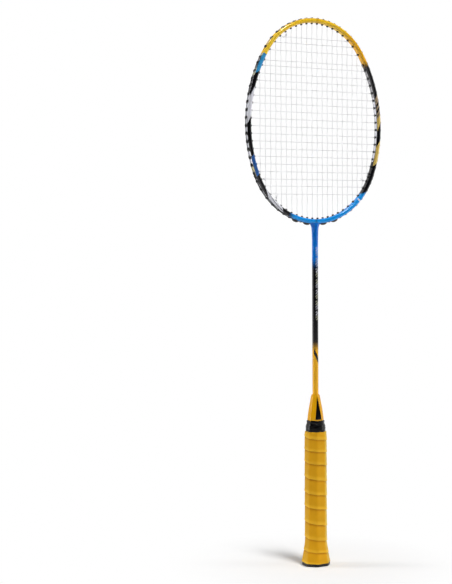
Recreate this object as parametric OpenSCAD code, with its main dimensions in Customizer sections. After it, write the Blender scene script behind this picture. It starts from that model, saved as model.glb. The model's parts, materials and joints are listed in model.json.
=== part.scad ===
// Badminton racket, strung and standing on its butt, with the shaft up +Z.
// The head lies in the XZ plane and its front faces -Y. Sizes are in millimetres.

/* [Head] */
// Length from the butt to the crest of the head
overall_l = 675; // [660:1:680]
// Width of the head over the frame
head_w = 194; // [190:1:200]
// Distance from the centre of the crest arc to the centre of an upper side arc
up_span = 90; // [87.5:2.5:95]
// Distance from the centre of the throat arc to the centre of a lower side arc
low_span = 80; // [75:2.5:85]
// Thickness of the frame tube, across the head
frame_t = 5.6; // [5.5:0.1:6.5]
// Depth of the frame tube, front to back
frame_d = 8.4; // [8:0.1:10]
// Wall of the frame tube
frame_wall = 1; // [0.9:0.1:1.1]

/* [Strings] */
// Runs of the main string, up and down
mains = 22; // [22]
// Runs of the cross string
crosses = 22; // [22]
// Step from one main to the next
main_step = 7.4; // [7.2:0.05:7.5]
// Step from one cross to the next
cross_step = 9.1; // [9:0.05:9.2]
// Height of the top cross below the crest
cross_drop = 24.5; // [23:0.5:26]
// Thickness of the string
string_dia = 0.7; // [0.6:0.05:0.75]

/* [Grommets] */
// Outside of a grommet's barrel
barrel_dia = 2.7; // [2.5:0.1:2.8]
// Bore of a grommet, wide enough for two strings
bore_dia = 1.7; // [1.65:0.05:1.8]
// Head of a grommet, which sits in the string groove
flange_dia = 3.4; // [3:0.1:3.4]
// Length of a barrel that shows inside the head
barrel_proud = 1.6; // [1:0.1:2.2]

/* [Shaft] */
// Outside of the shaft
shaft_dia = 7.4; // [7:0.1:7.6]
// Bore of the shaft
shaft_bore = 4.6; // [4.2:0.1:4.8]
// Height at which the shaft ends inside the handle
shaft_foot = 110; // [90:1:130]

/* [Handle] */
// Width of the wooden handle, parallel to the strings
handle_x = 22.4; // [21.4:0.2:23]
// Depth of the wooden handle, front to back
handle_y = 21.2; // [20.4:0.2:22]
// Height of the top of the handle, where the cone starts
handle_top = 180; // [176:1:184]
// Height of the top of the cone
cone_top = 212.5; // [210:0.5:218]
// Height up to which the butt flares
flare_h = 28; // [24:1:32]
// How much wider the handle is at the foot of the flare, as a share
flare_gain = 0.4; // [0.3:0.02:0.44]

/* [Grip] */
// Height of the top of the grip, where the finishing tape starts
grip_top = 166.4; // [162:0.2:168]
// Thickness of the grip tape at its raised lower edge
tape_t = 2; // [1.8:0.1:2.2]
// Average rise of the tape in one turn
tape_step = 17.9; // [17:0.1:18.4]
// Height of the tape's lower edge at the front in the lowest whole turn
tape_start = 17; // [15:0.5:19]

/* [Hidden] */
$fn = 64;
// Overshoot of cuts, slip of sleeves and pegs, and the height of a thin slice
over = 1;
slip = 0.1;
slab = 0.1;
fine_fn = 256;

// Outline of the head: a crest arc, a throat arc and two side arcs on each side, all tangent.
// The directions in which they meet are short decimals, so that their ends match exactly.
up_dir = [0.8432, 0.5376];
low_dir = [0.936, -0.352];
up_phi = atan2(up_dir.y, up_dir.x);
low_phi = atan2(low_dir.y, low_dir.x);
half_w = head_w / 2;
crest_r = half_w - (1 - up_dir.x) * up_span;
up_r = half_w + up_dir.x * up_span;
up_x = half_w - up_r;
crest_z = overall_l - crest_r;
wide_z = crest_z - up_dir.y * up_span;
throat_r = half_w - (1 - low_dir.x) * low_span;
low_r = half_w + low_dir.x * low_span;
low_x = half_w - low_r;
throat_z = wide_z + low_dir.y * low_span;
under_z = throat_z - throat_r;
wedge = 1000;

// Section of the frame tube, with the string groove in its outer face
frame_round = 2.2;
void_round = 0.8;
groove_w = 3.8;
groove_d = 1.2;
void_out = groove_d + frame_wall;
hole_gap = 0.1;

// Grommets, and the depth below the frame's outer face at which a string bends into the head
flange_h = 0.4;
lip_gap = 0.5;
lip_d = frame_t + barrel_proud + lip_gap;
share_gap = 3.5;
saddle_l = 8.4;
saddle_h = 2.5;
saddle_y = 2.3;
saddle_r = (saddle_l ^ 2 / 4 + saddle_h ^ 2) / (2 * saddle_h);
saddle_mains = [2, 4];
rib_y = 0.9;
rib_w = 0.9;
rib_l = 5;

// Mains run in the front lane and crosses in the back lane, so that no run cuts another
lane = 0.4;
string_r = string_dia / 2;
string_sides = 6;
most_spread = 2;
loop_gap = 0.05;
loop_d = groove_d - flange_h - string_r - loop_gap;
bend_r = 1;
bend_in = 0.3;
tie_cross = 19;
tie_crest_main = 5;
tie_foot_main = 3;
tie_reach = 0.9;
knot_r = 0.78;
knot_step = 0.8;
knot_gap = 2.2;

// Throat: the shaft stops below the hoop and the T insert carries on
shaft_top = under_z - 6;
stem_dia = shaft_bore - slip;
stem_l = 42;
arm_phi = 6;
collar_foot = under_z - 20;
collar_top = under_z - 3;
collar_r = 4.6;
collar_edge = 0.15;
collar_fillet = 2.9;
collar_turn = 22.5;
collar_y = 3.9;

// Handle
corner_cut = 6.2;
taper_z = 160;
taper_loss = 0.12;
nose_dia = 12;
nose_l = 19;
cone_sides = 32;
cone_mid = 195.5;
cone_mid_r = 8.1;
cone_top_r = 5.6;
cone_lip_r = 4.9;
cone_lip_h = 1.5;
rim_h = 3.6;
rim_x = 16.4;
rim_y = 15.6;
cap_floor = 3;
cap_top = 25;
cap_wall = 1.2;
cap_rings = 8;
flare_power = 1.1;
badge_dia = 16;
badge_h = 0.5;
tack_z = 16;
tack_l = 7;
tack_dia = 1.2;
tack_head = 2.6;
tack_head_h = 0.5;
tack_sink = 0.6;
vinyl_foot_t = 1.2;
vinyl_top_t = 0.65;

// Grip tape: how it is wound, and the sizes of its section
turn_rings = 24;
handle_faces = 8;
first_face = 6;
first_turn = -42 / turn_rings;
last_turn = 201 / turn_rings;
wander_fast = 1.3;
wander_fast_rate = 100;
wander_slow = 1.6;
wander_slow_rate = 54;
tape_lean = 1.3;
tape_skin = 0.05;
tape_lift = 1.35;
tape_lift_l = 2.4;
tape_round = 0.35;
tape_mid = 0.5;
tape_mid_share = 1.02;
tape_edge_t = 0.3;
tape_tuck = 0.9;
gap_samples = 6;
tiny = 1e-6;

// Point on the right half of the hoop whose outward normal is at angle phi
function right_rim(phi, depth) =
    let (out = [cos(phi), sin(phi)])
    phi >= up_phi ? [0, crest_z] + (crest_r - depth) * out
    : phi >= 0 ? [up_x, wide_z] + (up_r - depth) * out
    : phi >= low_phi ? [low_x, wide_z] + (low_r - depth) * out
    : [0, throat_z] + (throat_r - depth) * out;

// Point anywhere on the hoop, a depth below its outer face, with angles over 90 on the left
function rim(phi, depth = 0) =
    let (p = right_rim(phi > 90 ? 180 - phi : phi, depth))
    phi > 90 ? [-p.x, p.y] : p;

// The same point in space, in one string's lane
function rim_point(phi, depth, y) = let (p = rim(phi, depth)) [p.x, y, p.y];

function other_side(phi) = 180 - phi;

// Angles at which an upright or level string line meets the mouths of the grommets
function crest_phi(x) =
    let (p = acos(x / (crest_r - lip_d)))
    p >= up_phi ? p : acos((x - up_x) / (up_r - lip_d));
function foot_phi(x) =
    let (p = -acos(x / (throat_r - lip_d)))
    p <= low_phi ? p : -acos((x - low_x) / (low_r - lip_d));
function upper_phi(z) =
    let (p = asin((z - wide_z) / (up_r - lip_d)))
    p <= up_phi ? p : asin((z - crest_z) / (crest_r - lip_d));
function lower_phi(z) =
    let (p = asin((z - wide_z) / (low_r - lip_d)))
    p >= low_phi ? p : asin((z - throat_z) / (throat_r - lip_d));

function main_x(i) = (i - (mains - 1) / 2) * main_step;
function main_crest(i) = let (x = main_x(i)) x < 0 ? other_side(crest_phi(-x)) : crest_phi(x);
function main_foot(i) = let (x = main_x(i)) x < 0 ? other_side(foot_phi(-x)) : foot_phi(x);
right_mains = [for (i = [mains / 2 : mains - 1]) i];
right_main_ends = [for (i = right_mains) each [main_crest(i), main_foot(i)]];

// A cross whose own hole would crowd a main's grommet shares that grommet
function cross_z(j) = overall_l - cross_drop - j * cross_step;
function own_phi(j) = cross_z(j) >= wide_z ? upper_phi(cross_z(j)) : lower_phi(cross_z(j));
function crowded(phi) = [for (p = right_main_ends) if (norm(rim(p) - rim(phi)) < share_gap) p];
function cross_right(j) = let (near = crowded(own_phi(j))) len(near) > 0 ? near[0] : own_phi(j);
function cross_left(j) = other_side(cross_right(j));
own_crosses = [for (j = [0 : crosses - 1]) if (len(crowded(own_phi(j))) == 0) j];
right_holes = concat(right_main_ends, [for (j = own_crosses) own_phi(j)]);

// A string's way round from one grommet to the next, in the groove
function loop(from, to, y) =
    let (share = bend_r / norm(rim(from, loop_d) - rim(to, loop_d)))
    let (step = share * (to - from))
    [
        rim_point(from, loop_d + bend_r, y),
        rim_point(from + bend_in * step, loop_d + bend_in * bend_r, y),
        rim_point(from + step, loop_d, y),
        rim_point(to - step, loop_d, y),
        rim_point(to - bend_in * step, loop_d + bend_in * bend_r, y),
        rim_point(to, loop_d + bend_r, y),
    ];

// A string's straight way across the head, from one grommet's mouth to another
function run(from, to, y) =
    let (a = rim_point(from, lip_d, y), b = rim_point(to, lip_d, y))
    let (step = lip_gap * (b - a) / norm(b - a))
    [rim_point(from, lip_d - lip_gap, y), a + step, b - step, rim_point(to, lip_d - lip_gap, y)];

function tie_end(phi, y) = [rim_point(phi, lip_d + tie_reach, y)];

main_path = concat(
    tie_end(cross_left(tie_cross), -lane),
    loop(cross_left(tie_cross), main_foot(0), -lane),
    [for (i = [0 : mains - 1])
        let (up = i % 2 == 0)
        each concat(
            up ? run(main_foot(i), main_crest(i), -lane) : run(main_crest(i), main_foot(i), -lane),
            i == mains - 1 ? loop(main_foot(i), cross_right(tie_cross), -lane)
            : up ? loop(main_crest(i), main_crest(i + 1), -lane)
            : loop(main_foot(i), main_foot(i + 1), -lane)
        )],
    tie_end(cross_right(tie_cross), -lane)
);

cross_path = concat(
    tie_end(main_crest(tie_crest_main), lane),
    loop(main_crest(tie_crest_main), cross_left(0), lane),
    [for (j = [0 : crosses - 1])
        let (right = j % 2 == 0)
        each concat(
            right ? run(cross_left(j), cross_right(j), lane) : run(cross_right(j), cross_left(j), lane),
            j == crosses - 1 ? loop(cross_left(j), main_foot(tie_foot_main), lane)
            : right ? loop(cross_right(j), cross_right(j + 1), lane)
            : loop(cross_left(j), cross_left(j + 1), lane)
        )],
    tie_end(main_foot(tie_foot_main), lane)
);

// Rings of a round tube along a path that stays in one lane
function unit(v) = v / norm(v);
function tube_ring(before, p, after, r) =
    let (in = unit(p - before), out = unit(after - p))
    let (along = unit(in + out), spread = min(1 / (in * along), most_spread))
    let (side = [along.z, 0, -along.x] * spread)
    [for (k = [0 : string_sides - 1])
        let (a = 360 * k / string_sides)
        p + r * (cos(a) * side + sin(a) * [0, 1, 0])];
function tube_rings(path, r) =
    let (n = len(path))
    [for (i = [0 : n - 1])
        let (before = i > 0 ? path[i - 1] : 2 * path[0] - path[1])
        let (after = i < n - 1 ? path[i + 1] : 2 * path[n - 1] - path[n - 2])
        tube_ring(before, path[i], after, r)];

// Eight-sided outline, counter-clockwise from the right
function octagon(x, y, cut) = [
    [x, cut - y], [x, y - cut], [x - cut, y], [cut - x, y],
    [-x, y - cut], [-x, cut - y], [cut - x, -y], [x - cut, -y]];

// Share by which the handle is wider or narrower at a height
function girth(z) =
    z < flare_h ? 1 + flare_gain * (1 - max(z, 0) / flare_h) ^ flare_power
    : z > taper_z ? 1 - taper_loss * (z - taper_z) / (handle_top - taper_z)
    : 1;

// Outline of the handle at a height, grown outwards
function core(z, grow = 0) =
    let (g = girth(z))
    octagon(g * handle_x / 2 + grow, g * handle_y / 2 + grow, g * corner_cut + (2 - sqrt(2)) * grow);
function core_ring(z, grow = 0) = [for (p = core(z, grow)) [p.x, p.y, z]];

// Height of the tape's lower edge after a number of turns, a little uneven as it was wound by hand
function tape_z(turn) =
    tape_start + tape_step * turn
    - wander_fast * sin(wander_fast_rate * turn)
    - wander_slow * sin(wander_slow_rate * turn)
    - tape_lean * sin(360 * turn);

// Point on the handle after a number of turns, clockwise from the left front corner going up
function tape_point(turn, grow, z) =
    let (held = min(max(z, rim_h + slip), grip_top))
    let (faces = first_face - handle_faces * turn)
    let (face = faces - handle_faces * floor(faces / handle_faces))
    let (k = floor(face + tiny), share = face - k, corners = core(held, grow))
    let (p = corners[k % handle_faces] * (1 - share) + corners[(k + 1) % handle_faces] * share)
    [p.x, p.y, held];

// Section of the tape: the lower edge hangs over the turn below, the upper edge is thin
function tape_ring(turn) =
    let (foot = tape_z(turn), head = tape_z(turn + 1))
    [
        tape_point(turn, tape_skin, foot + tape_lift_l),
        tape_point(turn, tape_skin, head + tape_tuck),
        tape_point(turn, tape_edge_t, head + tape_tuck),
        tape_point(turn, tape_mid_share * tape_t, foot + tape_mid * (head - foot)),
        tape_point(turn, tape_t, foot + tape_round),
        tape_point(turn, tape_lift, foot),
    ];
tape_rings = [for (t = [first_turn : 1 / turn_rings : last_turn]) tape_ring(t)];

// Least distance from each turn's thin edge to the underside of the turn above it
function under_gap(low, high) =
    min([for (s = [0 : gap_samples]) norm(low[2] - (high[0] + (high[5] - high[0]) * s / gap_samples))]);
tape_gap = min([for (i = [0 : len(tape_rings) - turn_rings - 1])
    if (tape_rings[i][2].z < grip_top - tape_t)
        under_gap(tape_rings[i], tape_rings[i + turn_rings])]);
echo(least_gap_of_the_grip_tape_to_itself = tape_gap);

// Closed solid through a row of rings that all have as many points, in triangles
module loft(rings) {
    sides = len(rings[0]);
    last = sides * (len(rings) - 1);
    walls = [for (i = [0 : len(rings) - 2], k = [0 : sides - 1])
        let (a = sides * i, next = (k + 1) % sides)
        each [[a + k, a + sides + next, a + next], [a + k, a + sides + k, a + sides + next]]];
    foot = [for (k = [2 : sides - 1]) [1, k, (k + 1) % sides]];
    head = [for (k = [1 : sides - 2]) [last, last + k + 1, last + k]];
    polyhedron(points = [for (ring = rings) each ring], faces = concat(walls, foot, head), convexity = 10);
}

// Rounded rectangle from x0 to x1, centred on the X axis
module rounded_box(x0, x1, h, r) {
    translate([x0 + r, -h / 2])
        square([x1 - x0 - 2 * r, h]);
    translate([x0, r - h / 2])
        square([x1 - x0, h - 2 * r]);
    for (x = [x0 + r, x1 - r], y = [r - h / 2, h / 2 - r])
        translate([x, y])
            circle(r);
}

// Section of the space inside the frame tube, shrunk by a gap
module void_section(gap) {
    rounded_box(frame_wall + gap - frame_t, -void_out - gap, frame_d - 2 * (frame_wall + gap), void_round);
}

module frame_section() {
    difference() {
        rounded_box(-frame_t, 0, frame_d, frame_round);
        translate([-groove_d, -groove_w / 2])
            square([groove_d + over, groove_w]);
        void_section(0);
    }
}

// Sweeps a section along the part of a ring between two directions from its centre
module hoop_arc(centre, r, from, to) {
    translate([centre.x, 0, centre.y])
        rotate([90, 0, 0])
            intersection() {
                rotate_extrude()
                    translate([r, 0])
                        children();
                linear_extrude(2 * frame_d, center = true)
                    polygon([[0, 0], wedge * from, wedge * (from + to), wedge * to]);
            }
}

// Stands a shape on the hoop's outer face, with local Z along the outward normal
module at_rim(phi) {
    p = rim(phi);
    translate([p.x, 0, p.y])
        rotate([0, 90 - phi, 0])
            children();
}

module string_hole(phi) {
    at_rim(phi)
        translate([0, 0, -frame_t - over])
            cylinder(d = barrel_dia + hole_gap, h = frame_t + 2 * over);
}

module frame_hoop() {
    color("black")
    difference() {
        union() {
            hoop_arc([0, crest_z], crest_r, up_dir, [-up_dir.x, up_dir.y])
                frame_section();
            hoop_arc([0, throat_z], throat_r, [-low_dir.x, low_dir.y], low_dir)
                frame_section();
            for (side = [0, 1])
                mirror([side, 0, 0]) {
                    hoop_arc([up_x, wide_z], up_r, [1, 0], up_dir)
                        frame_section();
                    hoop_arc([low_x, wide_z], low_r, low_dir, [1, 0])
                        frame_section();
                }
        }
        for (phi = right_holes) {
            string_hole(phi);
            string_hole(other_side(phi));
        }
        translate([0, 0, under_z - over])
            cylinder(d = shaft_bore, h = void_out + 2 * over);
    }
}

module t_joint() {
    color("dimgray")
    difference() {
        union() {
            hoop_arc([0, throat_z], throat_r, [-sin(arm_phi), -cos(arm_phi)], [sin(arm_phi), -cos(arm_phi)])
                void_section(slip);
            translate([0, 0, shaft_top - stem_l])
                cylinder(d = stem_dia, h = stem_l + under_z - shaft_top + void_out + over);
        }
        for (i = [mains / 2 - 1, mains / 2])
            string_hole(main_foot(i));
    }
}

// Point on the hollow flare at the top of the collar
function flare_point(a) = [collar_r, collar_top] + collar_fillet * [1 - cos(a), sin(a)];

module throat_fairing() {
    color("royalblue")
    difference() {
        intersection() {
            rotate_extrude()
                polygon(concat(
                    [[0, collar_foot], [shaft_dia / 2 + collar_edge, collar_foot]],
                    [for (a = [0 : collar_turn : 90]) flare_point(a)],
                    [[collar_r + collar_fillet, under_z + over], [0, under_z + over]]));
            translate([-collar_r - collar_fillet - over, -collar_y, collar_foot - over])
                cube([2 * (collar_r + collar_fillet + over), 2 * collar_y, under_z - collar_foot + 4 * over]);
        }
        translate([0, 0, throat_z])
            rotate([90, 0, 0])
                cylinder(r = throat_r, h = 2 * frame_d, center = true, $fn = fine_fn);
        translate([0, 0, collar_foot - over])
            cylinder(d = shaft_dia, h = shaft_top - collar_foot + over);
        translate([0, 0, shaft_top - over])
            cylinder(d = stem_dia, h = under_z - shaft_top + 2 * over);
    }
}

module shaft() {
    color("black")
    translate([0, 0, shaft_foot])
        difference() {
            cylinder(d = shaft_dia, h = shaft_top - shaft_foot);
            translate([0, 0, -over])
                cylinder(d = shaft_bore, h = shaft_top - shaft_foot + 2 * over);
        }
}

module cone_cap() {
    color("gold")
    difference() {
        union() {
            hull() {
                translate([0, 0, handle_top])
                    linear_extrude(over)
                        polygon(core(handle_top));
                translate([0, 0, cone_mid])
                    cylinder(r = cone_mid_r, h = over, $fn = cone_sides);
                translate([0, 0, cone_top - cone_lip_h - over])
                    cylinder(r = cone_top_r, h = over, $fn = cone_sides);
            }
            translate([0, 0, cone_top - cone_lip_h - over])
                cylinder(r = cone_lip_r, h = cone_lip_h + over);
        }
        translate([0, 0, handle_top - over])
            cylinder(d = nose_dia + 2 * slip, h = nose_l + slip + over);
        translate([0, 0, handle_top])
            cylinder(d = shaft_dia + slip, h = cone_top - handle_top + over);
    }
}

module handle_core() {
    color("burlywood")
    difference() {
        union() {
            translate([0, 0, cap_floor])
                linear_extrude(cap_top - cap_floor)
                    polygon(core(flare_h, -cap_wall));
            loft([for (z = [cap_top, flare_h, taper_z, handle_top]) core_ring(z)]);
            translate([0, 0, handle_top - over])
                cylinder(d = nose_dia, h = nose_l + over);
        }
        translate([0, 0, shaft_foot])
            cylinder(d = shaft_dia, h = handle_top + nose_l);
        tack_bores();
    }
}

// Lofted flare on a thin rim, with a socket for the end of the wood
module butt_cap() {
    color("#22242a")
    difference() {
        union() {
            linear_extrude(rim_h)
                polygon(octagon(rim_x, rim_y, corner_cut * (1 + flare_gain)));
            loft([for (k = [0 : cap_rings]) core_ring(rim_h / 2 + (cap_top - rim_h / 2) * k / cap_rings)]);
        }
        translate([0, 0, cap_floor])
            linear_extrude(cap_top)
                polygon(core(flare_h, -cap_wall));
        translate([0, 0, -over])
            cylinder(d = badge_dia, h = badge_h + slip + over);
        tack_bores();
    }
}

module butt_badge() {
    color("darkgray")
    translate([0, 0, slip])
        cylinder(d = badge_dia - slip, h = badge_h);
}

// Places something at each of the two tacks, with local Z pointing out of the butt
module at_tacks() {
    for (side = [0, 1])
        mirror([side, 0, 0])
            translate([girth(tack_z) * handle_x / 2 - tack_head_h - tack_sink, 0, tack_z])
                rotate([0, 90, 0])
                    children();
}

module tack_bores() {
    at_tacks() {
        translate([0, 0, -tack_l])
            cylinder(d = tack_dia, h = tack_l + over);
        cylinder(d = tack_head, h = tack_head_h + tack_sink + over);
    }
}

module butt_tacks() {
    color("silver")
    at_tacks() {
        cylinder(d = tack_head - slip, h = tack_head_h);
        translate([0, 0, -tack_l])
            cylinder(d = tack_dia, h = tack_l);
    }
}

module grip_tape() {
    color("gold")
    loft(tape_rings);
}

module finishing_tape() {
    color("#151515")
    difference() {
        hull() {
            translate([0, 0, grip_top + slip])
                linear_extrude(slab)
                    polygon(core(grip_top, vinyl_foot_t));
            translate([0, 0, handle_top - slab])
                linear_extrude(slab)
                    polygon(core(handle_top, vinyl_top_t));
        }
        hull() {
            translate([0, 0, grip_top - over])
                linear_extrude(slab)
                    polygon(core(grip_top - over, tape_skin));
            translate([0, 0, handle_top + over])
                linear_extrude(slab)
                    polygon(core(handle_top + over, tape_skin));
        }
    }
}

module grommet(phi) {
    at_rim(phi)
        difference() {
            union() {
                translate([0, 0, -groove_d])
                    cylinder(d = flange_dia, h = flange_h);
                translate([0, 0, -frame_t - barrel_proud])
                    cylinder(d = barrel_dia, h = frame_t + barrel_proud - groove_d);
            }
            translate([0, 0, -frame_t - barrel_proud - over])
                cylinder(d = bore_dia, h = frame_t + barrel_proud + over);
        }
}

// Grommet with an arched head over the groove, on two ribs that leave the string's way free
module saddle(phi) {
    grommet(phi);
    at_rim(phi) {
        rotate([90, 0, 0])
            linear_extrude(2 * saddle_y, center = true)
                intersection() {
                    translate([0, saddle_h - saddle_r])
                        circle(saddle_r);
                    translate([-saddle_l / 2, 0])
                        square([saddle_l, saddle_h + over]);
                }
        for (y = [rib_y, -rib_y - rib_w])
            translate([-rib_l / 2, y, -groove_d + flange_h / 2])
                cube([rib_l, rib_w, groove_d]);
    }
}

function is_saddle(i) = len([for (m = saddle_mains) if (abs(main_x(i)) == (m - 0.5) * main_step) m]) > 0;

module crest_grommets() {
    color("#1a1a1a")
    for (i = [0 : mains - 1])
        grommet(main_crest(i));
}

module throat_grommets() {
    color("#1a1a1a")
    for (i = [0 : mains - 1])
        if (!is_saddle(i))
            grommet(main_foot(i));
}

module throat_saddles() {
    color("#1a1a1a")
    for (i = [0 : mains - 1])
        if (is_saddle(i))
            saddle(main_foot(i));
}

module left_grommets() {
    color("#1a1a1a")
    for (j = own_crosses)
        grommet(cross_left(j));
}

module right_grommets() {
    color("#1a1a1a")
    for (j = own_crosses)
        grommet(cross_right(j));
}

module main_string() {
    color("white")
    loft(tube_rings(main_path, string_r));
}

module cross_string() {
    color("white")
    loft(tube_rings(cross_path, string_r));
}

// Two turns of string round the string that holds the knot, along local Z
module knot() {
    for (k = [0, 1])
        translate([0, 0, k * knot_step])
            rotate_extrude()
                translate([knot_r, 0])
                    circle(string_r);
}

module tie_knots() {
    color("white") {
        for (side = [0, 1])
            mirror([side, 0, 0])
                translate([rim(cross_right(tie_cross), lip_d).x - knot_gap, lane, cross_z(tie_cross)])
                    rotate([0, -90, 0])
                        knot();
        translate([main_x(tie_crest_main), -lane, rim(main_crest(tie_crest_main), lip_d).y - knot_gap])
            mirror([0, 0, 1])
                knot();
        translate([main_x(tie_foot_main), -lane, rim(main_foot(tie_foot_main), lip_d).y + knot_gap])
            knot();
    }
}

frame_hoop();
t_joint();
throat_fairing();
shaft();
cone_cap();
handle_core();
butt_cap();
butt_tacks();
butt_badge();
grip_tape();
finishing_tape();
crest_grommets();
throat_grommets();
throat_saddles();
left_grommets();
right_grommets();
main_string();
cross_string();
tie_knots();
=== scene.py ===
"""Looks of a strung badminton racket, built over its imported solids.

Sizes in the classes are millimetres in the frame of the solids: +Z runs up the shaft, X lies
across the head and the front faces -Y. Meshes are written in metres.
"""

from __future__ import annotations

import json
import logging
import math
from collections.abc import Callable, Sequence
from dataclasses import dataclass, field
from enum import Enum
from functools import cached_property, reduce

import bmesh
import bpy
from mathutils import Color, Matrix, Vector, noise

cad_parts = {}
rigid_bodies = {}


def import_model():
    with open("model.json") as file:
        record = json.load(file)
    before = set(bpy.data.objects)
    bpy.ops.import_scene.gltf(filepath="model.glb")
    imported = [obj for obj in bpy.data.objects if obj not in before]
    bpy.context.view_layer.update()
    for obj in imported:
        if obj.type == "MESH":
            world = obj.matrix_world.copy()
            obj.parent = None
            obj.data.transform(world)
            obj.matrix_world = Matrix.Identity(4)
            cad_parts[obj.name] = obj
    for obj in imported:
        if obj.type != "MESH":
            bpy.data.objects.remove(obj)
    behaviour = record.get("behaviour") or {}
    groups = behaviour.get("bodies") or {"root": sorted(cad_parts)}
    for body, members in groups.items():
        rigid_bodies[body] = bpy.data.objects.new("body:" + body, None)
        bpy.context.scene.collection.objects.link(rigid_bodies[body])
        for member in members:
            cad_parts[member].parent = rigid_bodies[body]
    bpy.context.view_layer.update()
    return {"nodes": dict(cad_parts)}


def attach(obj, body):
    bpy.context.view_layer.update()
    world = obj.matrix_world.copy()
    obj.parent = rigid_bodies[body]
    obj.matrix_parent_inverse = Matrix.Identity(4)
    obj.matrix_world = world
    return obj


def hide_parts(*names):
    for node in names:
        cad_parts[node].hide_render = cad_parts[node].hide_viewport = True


MM = 0.001
TO_MM = 1000.0
BODY = "root"
SOLVE_STEPS = 48
MERGE_MM = 0.001
WHITE = (1.0, 1.0, 1.0, 1.0)
# How much the cut of an eight-sided outline's corners grows with each millimetre of the outline
CORNER_GROWTH = 2 - math.sqrt(2)
# Numbers of the Mix node's two inputs and of its output, for colours and for numbers
MIX_SOCKETS = {"RGBA": (6, 7, 2), "FLOAT": (2, 3, 0)}

Point = tuple[float, float, float]
Flat = tuple[float, float]
Colour = tuple[float, float, float, float]
Socket = bpy.types.NodeSocket
Value = float | int | str | bool | Sequence[float] | Socket | bpy.types.ID

log = logging.getLogger("racket")


def tint(red: int, green: int, blue: int) -> Colour:
    """Returns a screen colour, with levels from 0 to 255, as scene-linear values."""
    screen = Color((red / 255, green / 255, blue / 255))
    return (*screen.from_srgb_to_scene_linear(), 1.0)


class Paint(Enum):
    """Colours of the racket's lacquers."""

    BLACK = tint(11, 10, 14)
    YELLOW = tint(236, 172, 14)
    BLUE = tint(14, 114, 212)
    LEMON = tint(242, 194, 36)
    # A paler copy of the lemon lacquer: painted highlight for the lit left half of the crest
    PAINTED_HIGHLIGHT_STRAW = tint(246, 204, 58)
    NAVY = tint(38, 90, 162)
    SKY = tint(20, 146, 230)
    AZURE = tint(58, 152, 208)
    SILVER = tint(226, 226, 234)
    GREY = tint(160, 158, 163)
    CREAM = tint(206, 204, 178)
    GOLD = tint(214, 184, 98)
    OLIVE = tint(188, 180, 116)
    BRONZE = tint(158, 138, 110)


def solve(rule: Callable[[float], float], low: float, high: float) -> float:
    """Finds where a rising rule crosses zero, by halving.

    Args:
        rule: rule of one number that rises from low to high.
        low: start of the search.
        high: end of the search.

    Returns:
        The number at which the rule is zero.
    """
    for _ in range(SOLVE_STEPS):
        middle = (low + high) / 2
        if rule(middle) < 0:
            low = middle
        else:
            high = middle
    return (low + high) / 2


def mix(start: float, end: float, share: float) -> float:
    """Returns the number that lies a share of the way from start to end."""
    return start + (end - start) * share


def ease(share: float) -> float:
    """Returns a share from 0 to 1 with soft ends."""
    held = min(max(share, 0.0), 1.0)
    return held * held * (3 - 2 * held)


def follow(knots: Sequence[Flat], place: float) -> float:
    """Reads a soft curve through knots at a place.

    Args:
        knots: pairs of place and height, in rising order of place.
        place: where to read the curve.

    Returns:
        The height there, held at the first and last knot.
    """
    if place <= knots[0][0]:
        return knots[0][1]
    for (x0, y0), (x1, y1) in zip(knots, knots[1:]):
        if place <= x1:
            return mix(y0, y1, ease((place - x0) / (x1 - x0)))
    return knots[-1][1]


def turns(count: int) -> list[Flat]:
    """Returns the cosine and sine at even steps of one turn."""
    angles = [math.tau * k / count for k in range(count)]
    return [(math.cos(angle), math.sin(angle)) for angle in angles]


def spaced(keyword: str) -> str:
    """Returns the socket name that a keyword stands for, such as Start slant for start_slant."""
    return keyword.replace("_", " ").capitalize()


def add_object(name: str, data: bpy.types.ID) -> bpy.types.Object:
    """Links a new object that shows a mesh, a lamp or a camera.

    Args:
        name: name of the object.
        data: what it shows.

    Returns:
        The new object.
    """
    made = bpy.data.objects.new(name, data)
    bpy.context.scene.collection.objects.link(made)
    return made


@dataclass
class Skin:
    """Mesh stretched over a row of rings that all have as many points."""

    rings: list[list[Point]]
    looped: bool = False
    sharp: float = 40.0
    marks: dict[str, list[Point]] = field(default_factory=dict)

    def faces(self) -> list[tuple[int, ...]]:
        """Numbers the corners of each face.

        Returns:
            The walls between the rings and, where the row isn't looped, its two ends.
        """
        sides, count = len(self.rings[0]), len(self.rings)
        walls = []
        for i in range(count if self.looped else count - 1):
            low, high = i * sides, (i + 1) % count * sides
            for k in range(sides):
                after = (k + 1) % sides
                walls.append((low + k, low + after, high + after, high + k))
        if self.looped:
            return walls
        last = (count - 1) * sides
        return [*walls, tuple(reversed(range(sides))), tuple(range(last, last + sides))]

    def build(self, name: str) -> bpy.types.Object:
        """Builds the piece, with its doubles merged and its faces turned outwards.

        Args:
            name: name of the piece.

        Returns:
            The new object, at the origin.
        """
        points = [(x * MM, y * MM, z * MM) for ring in self.rings for x, y, z in ring]
        mesh = bpy.data.meshes.new(name)
        mesh.from_pydata(points, [], self.faces())
        for mark, values in self.marks.items():
            layer = mesh.attributes.new(mark, "FLOAT_VECTOR", "POINT")
            layer.data.foreach_set("vector", [part for value in values for part in value])
        work = bmesh.new()
        work.from_mesh(mesh)
        bmesh.ops.remove_doubles(work, verts=work.verts, dist=MERGE_MM * MM)
        bmesh.ops.dissolve_degenerate(work, edges=work.edges, dist=MERGE_MM * MM)
        bmesh.ops.recalc_face_normals(work, faces=work.faces)
        work.to_mesh(mesh)
        work.free()
        mesh.shade_smooth()
        mesh.set_sharp_from_angle(angle=math.radians(self.sharp))
        return add_object(name, mesh)


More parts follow.
